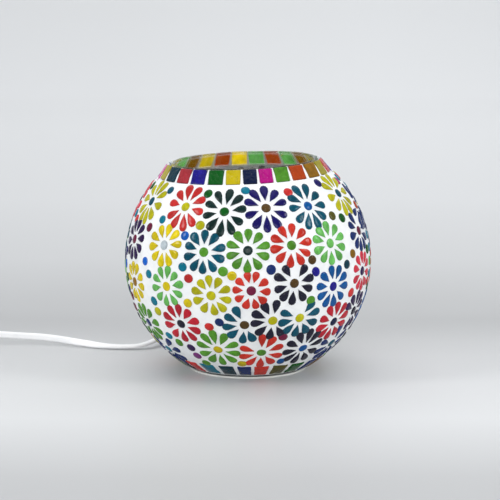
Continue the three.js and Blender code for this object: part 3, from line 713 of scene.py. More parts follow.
RUBBER = Moulded("rubber_white", "white_rubber", tone(240, 240, 236), tone(226, 226, 221), (0.55, 0.75))
FLEX = Moulded(
    "flex_white", "flex", tone(252, 252, 252), tone(243, 244, 245), (0.35, 0.5),
    grain=1400.0, depth=0.03 * MM,
)
PLASTIC = Moulded("plastic_white", "white_plastic", tone(244, 244, 240), tone(235, 235, 230), (0.25, 0.38))
# the sweep's paper, whose finish paints light and shade along it
PAPER = Paper("backdrop", "grout")


class Glass(Enum):
    """The batches of stained glass: the record's slot, then red, green, blue and streaking."""

    RED = ("glass_red", 202, 46, 44, 0.5)
    CRIMSON = ("glass_red", 190, 26, 46, 0.5)
    SCARLET = ("glass_red", 206, 50, 36, 0.5)
    BRICK = ("glass_brick", 178, 66, 18, 0.4)
    DUSTY_RED = ("glass_dusty_red", 172, 48, 58, 0.4)
    BURGUNDY = ("glass_dusty_red", 110, 22, 58, 0.5)
    MAUVE = ("glass_magenta", 120, 50, 118, 0.5)
    PINK_RED = ("glass_red", 214, 48, 70, 0.5)
    ORANGE_BROWN = ("glass_orange_brown", 180, 78, 12, 0.6)
    AMBER = ("glass_amber", 140, 98, 4, 0.6)
    BROWN = ("glass_amber", 84, 62, 28, 0.4)
    OCHRE = ("glass_ochre", 200, 180, 12, 0.3)
    YELLOW = ("glass_yellow", 226, 203, 14, 0.6)
    OLIVE_YELLOW = ("glass_olive", 186, 182, 12, 0.5)
    OLIVE = ("glass_olive", 170, 158, 30, 0.4)
    DARK_OLIVE = ("glass_amber", 82, 78, 22, 0.4)
    LIGHT_GREEN = ("glass_light_green", 108, 190, 92, 0.8)
    GREEN = ("glass_mid_green", 84, 150, 42, 0.7)
    DARK_GREEN = ("glass_dark_green", 4, 86, 22, 0.5)
    BOTTLE = ("glass_dark_green", 12, 42, 40, 0.5)
    TEAL = ("glass_teal", 0, 80, 102, 0.5)
    DARK_TEAL = ("glass_teal", 8, 58, 74, 0.5)
    CYAN = ("glass_teal", 0, 122, 148, 0.5)
    BLUE = ("glass_teal", 6, 82, 148, 0.6)
    BRIGHT_BLUE = ("glass_royal_blue", 10, 92, 190, 0.6)
    ROYAL = ("glass_royal_blue", 32, 24, 145, 0.7)
    NAVY = ("glass_royal_blue", 20, 12, 92, 0.4)
    NAVY_BLUE = ("glass_navy", 20, 44, 104, 0.4)
    MIDNIGHT = ("glass_navy", 2, 22, 62, 0.4)
    PURPLE = ("glass_navy", 44, 20, 74, 0.4)
    SLATE = ("glass_navy", 28, 28, 48, 0.5)
    SILVER = ("clear_glass", 196, 208, 214, 0.9)
    MAGENTA = ("glass_magenta", 168, 2, 118, 0.3)

    def cut(self, use: str, **settings: float) -> Stained:
        """The batch as a finish that is named after its use."""
        slot, red, green, blue, streaking = self.value
        return Stained(f"{use}_{self.name.lower()}", slot, tone(red, green, blue), streaking, **settings)

    def inlaid(self) -> Stained:
        """The batch cut for blossoms, dots and foot tiles, backed by grout."""
        return self.cut("inlay")

    def windowed(self, back: bool) -> Stained:
        """The batch cut for the rim: the front is seen from outside with a faint painted glow; the back lets
        some light through and has a stronger painted glow for the light behind it.
        """
        if back:
            # the back tiles get a strong painted glow, the front ones a faint one
            return self.cut("rim_back_painted_glow", clear=0.3, wave=0.7, lit=0.6)
        return self.cut("rim_front_painted_glow", clear=0.04, wave=0.7, lit=0.04)


def new_object(name: str, data: object) -> Thing:
    """Makes an object of a mesh, lamp or camera in the scene."""
    made = bpy.data.objects.new(name, data)
    bpy.context.scene.collection.objects.link(made)
    return made


def add_piece(
    name: str,
    surface: Surface,
    finish: Finish,
    body: str = BODY,
    stands_for: tuple[str, ...] = (),
    crease: float = 38.0,
) -> Thing:
    """Makes an object of a surface, dresses it and lets it ride on a body.

    Args:
        name: the piece's name.
        surface: its shape.
        finish: its finish.
        body: the body that carries it.
        stands_for: the nodes that it is shown in place of.
        crease: faces that meet at more than this many degrees meet at a sharp edge.

    Returns:
        The object.
    """
    mesh = bpy.data.meshes.new(name)
    mesh.from_pydata(surface.points.tolist(), [], surface.quads.tolist() + surface.triangles.tolist())
    for title, value in surface.values.items():
        mesh.attributes.new(title, "FLOAT", "POINT").data.foreach_set("value", value.astype(np.float32))
    mesh.shade_smooth()
    mesh.set_sharp_from_angle(angle=math.radians(crease))
    mesh.materials.append(finish.material())
    piece = new_object(name, mesh)
    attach(piece, body)
    if stands_for:
        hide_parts(*stands_for)
    LOG.info("%s: %d faces, on %s", name, len(mesh.polygons), body)
    return piece


def dress_node(node: str, finish: Finish) -> None:
    """Gives a carried-over node's object a finish."""
    for slot in frame["nodes"][node].material_slots:
        slot.material = finish.material()
    LOG.info("%s: dressed in %s", node, finish.name)


# ------------------------------------------------------------------ room
SOFTBOXES = (
    # name, place, what it faces, width and height, power in watts
    ("softbox_left", (-1.15, -0.5, 0.8), (0.0, 0.0, 0.1), (0.3, 0.6), 6.2),
    ("softbox_right", (1.15, -0.5, 0.8), (0.0, 0.0, 0.1), (0.3, 0.6), 6.2),
    ("softbox_top", (0.0, -0.1, 1.7), (0.0, 0.0, 0.0), (1.6, 1.2), 6.0),
    ("softbox_front", (0.0, -2.0, 0.7), (0.0, 0.0, 0.1), (1.6, 0.8), 15.0),
    ("softbox_back", (0.0, 1.7, 1.9), (0.0, 1.7, 0.0), (2.6, 1.8), 26.0),
)


@dataclass
class Room:
    """The camera, a pale sweep of paper, two upright softboxes, and wide ones above, in front and behind."""

    camera_place: Triple = (0.0, -1.451, 0.333)
    camera_aim: Triple = (0.0015, 0.0011, 0.0869)
    lens: float = 143.7
    sensor: float = 36.0
    floor_front: float = -3.2
    floor_back: float = 2.0
    bend: float = 1.0
    wall_top: float = 2.4
    half_width: float = 3.2
    daylight: Colour = tone(240, 243, 248)
    daylight_strength: float = 0.5

    def build(self) -> None:
        """Makes the camera, the sweep and the lights."""
        self.camera()
        self.sweep()
        self.lights()

    def camera(self) -> None:
        """Makes the camera and points it at its aim."""
        data = bpy.data.cameras.new("camera")
        data.lens = self.lens
        data.sensor_width = self.sensor
        data.clip_start = 0.01
        camera = new_object("camera", data)
        self.aim(camera, self.camera_place, self.camera_aim)
        bpy.context.scene.camera = camera

    @staticmethod
    def aim(thing: Thing, place: tuple, target: tuple) -> None:
        """Puts a camera or lamp in its place and turns it to face a target."""
        thing.location = place
        way = Vector(target) - Vector(place)
        thing.rotation_euler = way.to_track_quat("-Z", "Y").to_euler()

    def sweep(self) -> None:
        """Makes the paper: a level floor, a quarter round of the bend's radius, then a wall."""
        angle = np.linspace(0, math.pi / 2, 40)
        round_y = self.floor_back + self.bend * np.sin(angle)
        round_z = self.bend * (1 - np.cos(angle))
        flat = np.linspace(self.floor_front, self.floor_back, 30)[:-1]
        rise = np.linspace(self.bend, self.wall_top, 20)[1:]
        y = np.concatenate([flat, round_y, np.full(len(rise), round_y[-1])])
        z = np.concatenate([0 * flat, round_z, rise])
        x = np.linspace(-self.half_width, self.half_width, 9)
        grid = np.stack(np.broadcast_arrays(x[None], y[:, None], z[:, None]), -1)
        index = np.arange(grid.size // 3).reshape(grid.shape[:2])
        corners = [index[:-1, :-1], index[:-1, 1:], index[1:, 1:], index[1:, :-1]]
        mesh = bpy.data.meshes.new("paper_sweep")
        mesh.from_pydata(grid.reshape(-1, 3).tolist(), [], np.stack(corners, -1).reshape(-1, 4).tolist())
        mesh.shade_smooth()
        mesh.materials.append(PAPER.material())
        new_object("paper_sweep", mesh)

    def lights(self) -> None:
        """Makes the softboxes and the even light of the room."""
        for name, place, target, size, power in SOFTBOXES:
            data = bpy.data.lights.new(name, "AREA")
            data.shape = "RECTANGLE"
            data.size, data.size_y = size
            data.energy = power
            self.aim(new_object(name, data), place, target)
        world = bpy.data.worlds.new("room_light")
        world.use_nodes = True
        background = world.node_tree.nodes["Background"]
        background.inputs["Color"].default_value = self.daylight
        background.inputs["Strength"].default_value = self.daylight_strength
        bpy.context.scene.world = world
        bpy.context.scene.view_settings.view_transform = "Standard"


# ------------------------------------------------------------------ the globe's geometry
@dataclass
class GlobeForm:
    """The sizes of the globe, which every piece set in it or on it shares."""

    radius: float = 90 * MM
    foot_radius: float = 45.5 * MM
    mouth_radius: float = 55.7 * MM
    tile_length: float = 12.4 * MM
    slope: float = math.radians(37)
    mosaic: float = 2.4 * MM
    gap: float = 0.3 * MM
    wall: float = 2.3 * MM
    lip: float = 2.2 * MM
    lean: float = math.radians(2.2)
    hole_fall: float = math.radians(31)
    collar: float = 1.2 * MM
    tail: float = 23 * MM
    lean_low: float = -0.75
    lean_high: float = 0.25

    @cached_property
    def foot_z(self) -> float:
        """The height of the glass's underside."""
        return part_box("glass_globe")[0][2]

    @cached_property
    def centre(self) -> Array:
        """The middle of the globe: above the foot by the root of radius^2 - foot radius^2."""
        return np.array([0.0, 0.0, self.foot_z + math.sqrt(self.radius**2 - self.foot_radius**2)])

    @cached_property
    def band_angle(self) -> float:
        """The angle above the level at which the straight rim band leaves the round."""
        return math.acos(self.band_foot / self.radius)

    @cached_property
    def band_foot(self) -> float:
        """The radius at the foot of the rim band."""
        return self.mouth_radius + self.tile_length * math.sin(self.slope)

    @cached_property
    def hole_axis(self) -> Array:
        """The way out through the lead's hole."""
        return np.array([0.0, math.cos(self.hole_fall), -math.sin(self.hole_fall)])

    @cached_property
    def exit(self) -> Array:
        """The end of the strain relief, where the lead comes out."""
        return self.centre + self.hole_axis * (self.radius + self.collar + self.tail)

    def on_band(self, depth: float | Array, along: float | Array) -> Array:
        """A (radius, height) on the rim band, some depth under its face and some length up it."""
        radius = self.band_foot - depth * math.cos(self.slope) - along * math.sin(self.slope)
        rise = self.radius * math.sin(self.band_angle) - depth * math.sin(self.slope)
        rise = rise + along * math.cos(self.slope)
        return np.stack(np.broadcast_arrays(radius, self.centre[2] + rise), -1)

    def arc(self, radius: float, start: float, end: float, steps: int) -> Array:
        """An arc of (radius, height) about the globe's middle, between two angles above the level."""
        angle = np.linspace(start, end, steps)
        return np.stack([radius * np.cos(angle), self.centre[2] + radius * np.sin(angle)], -1)

    def fall_at(self, radius: float, height: float) -> float:
        """The angle above the level at which a round of this radius meets a height."""
        return math.asin((height - self.centre[2]) / radius)

    def leaned(self, points: Array, rigid: bool = False) -> Array:
        """Turns points about the globe's middle so that its mouth leans towards -X.

        Args:
            points: places as (..., 3).
            rigid: whether all turn by the whole lean, or the lower ones by less.

        Returns:
            The turned points.
        """
        away = points - self.centre
        low, high = self.lean_low * self.radius, self.lean_high * self.radius
        share = 1.0 if rigid else smoothstep(away[..., 2], low, high)
        turn = -self.lean * share
        x = away[..., 0] * np.cos(turn) + away[..., 2] * np.sin(turn)
        z = away[..., 2] * np.cos(turn) - away[..., 0] * np.sin(turn)
        return np.stack([x, away[..., 1], z], -1) + self.centre

    def way_to(self, bearing: Array, latitude: Array, leaned: bool = True) -> Array:
        """The way from the globe's middle to a bearing and latitude in degrees.

        Bearing b runs from the front, right positive, and the way is
        (sin b cos l, -cos b cos l, sin l), turned by the lean.
        """
        b, l = np.radians(bearing), np.radians(latitude)
        way = np.stack([np.sin(b) * np.cos(l), -np.cos(b) * np.cos(l), np.sin(l)], -1)
        return self.leaned(way + self.centre, rigid=True) - self.centre if leaned else way

    @staticmethod
    def compass(way: Array) -> tuple[Array, Array]:
        """The ways east and north on the globe, at a way from its middle."""
        east = unit(np.cross(UP, way))
        return east, np.cross(way, east)

    def wrapped(self, way: Array, turn: Array, local: Array, height: Array) -> Array:
        """Lays flat shapes on the round of the globe.

        A point (u, v) of a shape lies at the distance hypot(u, v) along the great circle that leaves
        the shape's middle in its own direction; u runs at the turn clockwise from up.

        Args:
            way: the way to each shape's middle, as (shape, 3).
            turn: each shape's turn in radians, as (shape,).
            local: the shape's points as (..., 2), the same for all or with the shape first.
            height: height above the round, broadcast over the points.

        Returns:
            Places as (shape, ..., 3).
        """
        east, north = self.compass(way)
        up = north * np.cos(turn)[:, None] + east * np.sin(turn)[:, None]
        side = np.cross(up, way)
        own = local.ndim > 2 and len(local) == len(way)
        shape = (len(way), *(1,) * (local.ndim - (2 if own else 1)), 3)
        u, v = local[..., 0, None], local[..., 1, None]
        offset = u * up.reshape(shape) + v * side.reshape(shape)
        far = np.linalg.norm(offset, axis=-1, keepdims=True)
        angle = far / self.radius
        aim = np.cos(angle) * way.reshape(shape) + np.sin(angle) * offset / np.maximum(far, 1e-9)
        return self.centre + aim * (self.radius + np.asarray(height)[..., None])


FORM = GlobeForm()


# ------------------------------------------------------------------ lead
@dataclass
class Lead:
    """The flat twin lead: through the globe to the switch, and on through a coil to the plug.

    It lies flat behind the lamp and turns on edge on its way to the switch. The coil is the part of
    its 1.8 m that is put away.
    """

    wide: float = 5.3 * MM
    deep: float = 3.3 * MM
    switch_end_x: float = -213 * MM
    switch_length: float = 60 * MM
    seam_z: float = 7.75 * MM
    held: float = 6 * MM
    coil_entry: float = 34.5 * MM
    coil_inner: float = 22.6 * MM
    coil_outer: float = 36.0 * MM
    plug_offset: float = 29 * MM
    plug_z: float = 6.85 * MM
    lower_turns: float = 3.5
    upper_turns: float = 4.0
    fall: tuple = ((-0.5, 15.5, 0.57), (-4, 23.5, 0.38), (-12.5, 29.5, 0.23))
    lie: tuple = (
        (-25, 31, 3.4), (-38, 26.5, 2.8), (-49.5, 17, 2.8), (-57.5, 4, 3.2), (-63, -10, 4.2),
        (-67.5, -23, 5.4), (-72, -33.5, 5.2), (-78, -39.5, 3.8), (-85, -41.8, 2.6), (-93, -42.2, 2.2),
        (-103, -42, 2.2), (-115, -39.5, 2.5), (-131, -32.5, 3.3), (-147, -25.5, 4.4),
        (-163, -20.8, 5.2), (-180, -19, 5.8), (-197, -18.8, 6.9), (-207, -18.8, 7.9),
    )
    turn_from: float = -95 * MM
    turn_to: float = -150 * MM
    run_length: float = 0.29
    rest_length: float = 1.46
    inner_length: float = 0.07
    inner_handles: Pair = (26 * MM, 34 * MM)
    inner_start: float = 9.4 * MM
    straight: float = 9 * MM
    section_steps: int = 20
    waist: float = 0.24
    waist_reach: float = 0.75 * MM
    squareness: float = 0.7

    def section(self) -> Array:
        """Two round cores side by side: x = a cos t, y = b |sin t|^0.7, drawn in at the waist."""
        t = full_turn(self.section_steps)
        x = self.wide / 2 * np.cos(t)
        waist = 1 - self.waist * np.exp(-((x / self.waist_reach) ** 2))
        y = self.deep / 2 * powered(np.sin(t), self.squareness) * waist
        return np.stack([x, y], -1)

    def coil_middle(self) -> Array:
        """The middle of the coil, from the coil's own box."""
        low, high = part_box("cord_coil")
        return (np.array(low) + np.array(high)) / 2

    def run_path(self) -> Array:
        """The route from the strain relief to the switch."""
        exit_place = FORM.exit
        start = exit_place + FORM.hole_axis * FORM.gap
        straight = exit_place + FORM.hole_axis * self.straight
        fall = [(x * MM, exit_place[1] + y * MM, exit_place[2] * share) for x, y, share in self.fall]
        lie = [(x * MM, exit_place[1] + y * MM, z * MM) for x, y, z in self.lie]
        side_y = exit_place[1] + self.lie[-1][1] * MM
        mouth = (self.switch_end_x, side_y, self.seam_z)
        end = (self.switch_end_x - self.held, side_y, self.seam_z)
        return smooth_path(np.array([start, straight, *fall, *lie, mouth, end]))

    def rest_path(self) -> Array:
        """The route from the switch through the coil to the plug.

        The lower layer winds in and the upper one out: the radius runs evenly with the angle, and the
        lead climbs from one layer to the other in the last of the lower turns.
        """
        middle = self.coil_middle()
        x = self.switch_end_x - self.switch_length
        y = middle[1] + self.coil_entry
        low_z, high_z = self.wide / 2 + 0.1 * MM, self.wide * 1.5 + 0.2 * MM
        link = np.array([
            (x + self.held, y, self.seam_z), (x, y, self.seam_z), (x - 8 * MM, y, self.seam_z - 0.6 * MM),
            (x - 18 * MM, y, 5.2 * MM), (x - 30 * MM, y, 3.4 * MM), (x - 41 * MM, y, low_z),
        ])
        whole = self.lower_turns + self.upper_turns
        turns = np.linspace(0.02, whole, int(whole * 40))
        inward = turns / self.lower_turns
        outward = (turns - self.lower_turns) / self.upper_turns
        radius = np.where(
            turns < self.lower_turns,
            self.coil_entry + (self.coil_inner - self.coil_entry) * inward,
            self.coil_inner + (self.coil_outer - self.coil_inner) * outward,
        )
        angle = math.pi / 2 + turns * 2 * math.pi
        climb = smoothstep(turns, self.lower_turns - 0.6, self.lower_turns + 0.1)
        z = low_z + (high_z - low_z) * climb
        coil = np.stack([middle[0] + radius * np.cos(angle), middle[1] + radius * np.sin(angle), z], -1)
        plug_y = middle[1] - self.plug_offset
        tail_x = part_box("plug_body")[0][0]
        leave = np.array([
            (middle[0] + 9 * MM, coil[-1][1] + 1.2 * MM, high_z - 0.2 * MM),
            (middle[0] + 17 * MM, plug_y - 2 * MM, self.plug_z + 0.5 * MM),
            (tail_x, plug_y, self.plug_z),
            (tail_x + 6 * MM, plug_y, self.plug_z),
        ])
        return smooth_path(np.vstack([link, coil, leave]))

    def inner_path(self) -> Array:
        """The route inside the globe, from the grommet to the lampholder.

        It is (1-t)^3 A + 3 (1-t)^2 t B + 3 (1-t) t^2 C + t^3 D from the start A to the end D.
        """
        start = FORM.centre + FORM.hole_axis * (FORM.radius - self.inner_start)
        low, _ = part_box("cord_inner")
        end = np.array([0.0, low[1], low[2] + 2.1 * MM])
        first = start - FORM.hole_axis * self.inner_handles[0]
        second = end + np.array([0.0, self.inner_handles[1], 0.0])
        t = np.linspace(0, 1, PATH_STEPS)[:, None]
        near = (1 - t) ** 3 * start + 3 * (1 - t) ** 2 * t * first
        far = 3 * (1 - t) * t**2 * second + t**3 * end
        return smooth_path(near + far)

    def build(self, on_run: list, on_rest: list) -> None:
        """Makes the three stretches of lead.

        Args:
            on_run: the pieces on the stretch to the switch; not used.
            on_rest: the pieces on the stretch from the switch to the plug; not used.
        """
        section = self.section()
        path = self.run_path()
        roll = math.pi / 2 * smoothstep(-path[:, 0], -self.turn_from, -self.turn_to)
        run = add_piece("lead_to_switch", carried(path, section, roll), FLEX, stands_for=("cord_run",))
        path = self.rest_path()
        tube = carried(path, section, math.pi / 2)
        rest = add_piece("lead_to_plug", tube, FLEX, stands_for=("cord_link", "cord_coil"))
        path = self.inner_path()
        inner = add_piece("lead_inside", carried(path, section), FLEX, stands_for=("cord_inner",))


# ------------------------------------------------------------------ glass globe and its mosaic
@dataclass
class Globe:
    """The blown globe: one wall of clear glass with a flat floor and a cut lip."""

    steps: int = 180
    stud_hole: float = 5.2 * MM
    cut_wave: float = 0.28 * MM
    cut_waves: tuple[tuple[int, float, float], ...] = ((3, 1.0, 0.4), (7, 0.6, 1.9), (12, 0.4, 0.0))
    lip_round: float = 0.5 * MM
    wave_band: float = 5 * MM
    blow_depth: float = 0.12 * MM
    blow_wave: float = 38 * MM
    arc_steps: int = 70

    def build(self) -> None:
        """Makes the globe: its section carried round the axis, then leaned.

        The lip's height waves with the angle a as the sum of size sin(count a + start).
        """
        outer = FORM.radius - FORM.mosaic - FORM.gap
        inner = outer - FORM.wall
        floor_top = FORM.foot_z + FORM.wall
        lip = FORM.tile_length + FORM.lip
        depth = FORM.mosaic + FORM.gap
        outside = FORM.arc(outer, FORM.fall_at(outer, FORM.foot_z), FORM.band_angle, self.arc_steps)
        inside = FORM.arc(inner, FORM.band_angle, FORM.fall_at(inner, floor_top), self.arc_steps)
        up = np.linspace(0.12, 1, 6) * (lip - self.lip_round)
        lip_turn = np.linspace(math.pi, 0, 7)
        lip_depth = depth + FORM.wall / 2 + FORM.wall / 2 * np.cos(lip_turn)
        lip_along = lip - self.lip_round + self.lip_round * np.sin(lip_turn)
        outline = np.vstack([
            [(self.stud_hole, FORM.foot_z)],
            outside,
            FORM.on_band(depth, up),
            FORM.on_band(lip_depth, lip_along),
            FORM.on_band(depth + FORM.wall, up[::-1]),
            inside,
            [(self.stud_hole, floor_top)],
        ])
        cut = np.zeros(len(outline))
        lip_start = 1 + len(outside) + len(up)
        cut[lip_start : lip_start + len(lip_turn)] = 1
        rings = turned(outline, self.steps)
        angle = full_turn(self.steps)
        wave = sum(size * np.sin(count * angle + start) for count, size, start in self.cut_waves)
        height = outline[:, 1]
        near_lip = smoothstep(height, FORM.on_band(depth, lip - self.wave_band)[1], height.max())
        rings[..., 2] += self.cut_wave * wave * near_lip[:, None] / 2
        blown = self.blow_depth * ripple(rings, self.blow_wave, 5)
        rings += unit(rings - FORM.centre) * (blown * (1 - near_lip[:, None]))[..., None]
        surface = stacked(FORM.leaned(rings), capped=False, cut=cut[:, None])
        add_piece("globe_glass", surface, CLEAR, stands_for=("glass_globe",))


BLOSSOM_ROWS = (
    # from the top: how tall and how wide a row's blossoms are, against the usual one, and for each its
    # bearing, latitude, petals, middle, turn of the first petal, and a size where it isn't the row's;
    # the later ones lose the petals that would lie on earlier cuts
    (1.14, 0.97, (
        (-64, 34, "OLIVE_YELLOW", "TEAL", 0), (-34, 33.5, "RED", "OLIVE_YELLOW", 10),
        (-11, 31.5, "BOTTLE", "DARK_GREEN", 14), (11, 32.5, "NAVY", "BROWN", -4),
        (35, 31.5, "TEAL", "BLUE", -3), (64, 34.5, "OLIVE_YELLOW", "TEAL", 0),
        (80, 26, "NAVY_BLUE", "BRICK", 8),
    )),
    (0.97, 0.98, (
        (-68, 15, "PURPLE", "BURGUNDY", 0), (-42, 15, "YELLOW", "SILVER", 15), (-20, 13, "TEAL", "GREEN", 4),
        (0.5, 13.5, "GREEN", "BOTTLE", 2), (21, 14.5, "SCARLET", "GREEN", 3),
        (42, 13, "LIGHT_GREEN", "LIGHT_GREEN", -9), (68, 15, "NAVY_BLUE", "BURGUNDY", 6),
    )),
    (0.92, 0.91, (
        (-65.5, -4.5, "YELLOW", "AMBER", 8), (-40, -3.5, "LIGHT_GREEN", "YELLOW", 2),
        (-17, -6.5, "OLIVE_YELLOW", "OLIVE_YELLOW", -8), (1.3, -4.5, "SCARLET", "BURGUNDY", -16, 0.92),
        (21, -2.5, "SLATE", "BROWN", 4, 1.05), (42, -6.7, "BLUE", "ROYAL", -5, 1.06),
        (66, -3.5, "PINK_RED", "PURPLE", 0),
    )),
    (1.0, 1.0, (
        (-63, -24.5, "GREEN", "NAVY_BLUE", 5), (-35.5, -21.5, "CRIMSON", "SLATE", -11),
        (24.5, -19.5, "TEAL", "OLIVE_YELLOW", 11), (11, -19.5, "SLATE", "OLIVE_YELLOW", 11),
        (-2.5, -21, "TEAL", "BROWN", 12), (47, -25, "CRIMSON", "MIDNIGHT", -14),
        (64, -22.5, "PURPLE", "SLATE", 3),
    )),
    (1.15, 1.0, (
        (-18.5, -35.5, "GREEN", "OCHRE", -19), (6, -38, "SCARLET", "GREEN", 4),
        (31.5, -38, "SLATE", "BLUE", -16), (-60, -40, "NAVY_BLUE", "CYAN", 6),
        (57, -39.5, "NAVY_BLUE", "TEAL", 0),
    )),
)

BACK_ROWS = (
    # first bearing, last bearing, how many, latitude, first of the batches
    (90, 270, 8, 33, 0), (93, 267, 8, 14, 3), (91, 268, 8, -5, 6), (88, 270, 8, -23.5, 9),
    (86, 262, 7, -39.5, 12),
)

BACK_BATCHES = (
    ("RED", "OLIVE_YELLOW"), ("TEAL", "GREEN"), ("OLIVE_YELLOW", "TEAL"), ("NAVY", "BROWN"),
    ("LIGHT_GREEN", "YELLOW"), ("PURPLE", "BURGUNDY"), ("SCARLET", "GREEN"), ("BOTTLE", "DARK_GREEN"),
    ("YELLOW", "SILVER"), ("BLUE", "ROYAL"), ("CRIMSON", "SLATE"), ("GREEN", "BOTTLE"),
    ("SLATE", "OLIVE_YELLOW"), ("PINK_RED", "PURPLE"), ("NAVY_BLUE", "CYAN"),
)

DOTS = (
    # bearing, latitude, batch
    (-51, 41, "TEAL"), (-22, 40.5, "DARK_GREEN"), (0.5, 42, "CYAN"), (26, 39.5, "RED"), (51, 42, "NAVY"),
    (-47, 26.5, "CYAN"), (-55.5, 22, "BURGUNDY"), (-23, 25, "OLIVE_YELLOW"), (-30.5, 20, "BRIGHT_BLUE"),
    (48.5, 25, "DARK_OLIVE"), (55.5, 23, "DARK_GREEN"), (57, 6, "AMBER"), (30.5, 7, "BROWN"),
    (-54.5, 6.5, "BRIGHT_BLUE"), (-51.5, 1, "CYAN"), (-30.5, 6, "CYAN"), (-11, 4.5, "GREEN"),
    (-27.5, 1, "RED"),
    (-7, 2.5, "YELLOW"), (10.5, 4.5, "NAVY_BLUE"), (32, 1.5, "ROYAL"), (51.5, 2, "DARK_TEAL"),
    (-50, -11.5, "CYAN"), (-29, -10.5, "YELLOW"), (-49, -16.5, "OLIVE_YELLOW"), (29.5, -11.5, "GREEN"),
    (56, -12, "RED"), (-20, -22, "RED"), (-14.5, -19.5, "NAVY_BLUE"), (-48, -29.5, "CYAN"),
    (-42.5, -33, "GREEN"), (-35.5, -35.5, "PURPLE"), (-34.5, -41, "MAUVE"), (-31.5, -46.5, "GREEN"),
    (-6, -46, "OCHRE"), (17, -29, "BURGUNDY"), (19.5, -46, "BLUE"), (-74, 24, "RED"), (76, 40, "MAGENTA"),
)

DOT_BATCHES = (
    "CYAN", "RED", "OLIVE_YELLOW", "BRIGHT_BLUE", "GREEN", "BURGUNDY", "AMBER", "NAVY", "DARK_GREEN",
)
FOOT_BATCHES = (
    "RED", "CYAN", "DARK_TEAL", "NAVY_BLUE", "SCARLET", "DARK_OLIVE", "DARK_GREEN", "NAVY_BLUE", "AMBER",
    "GREEN", "CRIMSON", "TEAL", "OLIVE", "PURPLE", "BRICK", "BLUE", "YELLOW", "BOTTLE", "MAGENTA",
    "LIGHT_GREEN", "NAVY", "ORANGE_BROWN", "TEAL", "DUSTY_RED", "OCHRE", "ROYAL", "GREEN", "SLATE",
)
FOOT_BEARINGS = (-45, -30.5, -15.5, -2.5, 10, 24, 38.5, 54)


def spread_round(given: tuple[float, ...], count: int) -> tuple[Array, Array]:
    """Bearings of tiles round the globe: the given ones, then even ones for the rest.

    Args:
        given: the first bearings, in degrees.
        count: how many tiles there are.

    Returns:
        The bearings in degrees, and the angle in radians that each tile has to itself.
    """
    rest = count - len(given)
    pitch = (360 + given[0] - given[-1]) / (rest + 1)
    bearings = np.array([*given, *(given[-1] + pitch * np.arange(1, rest + 1))])
    before, after = np.roll(bearings, 1), np.roll(bearings, -1)
    before[0] -= 360
    after[-1] += 360
    return bearings, np.radians((after - before) / 2)


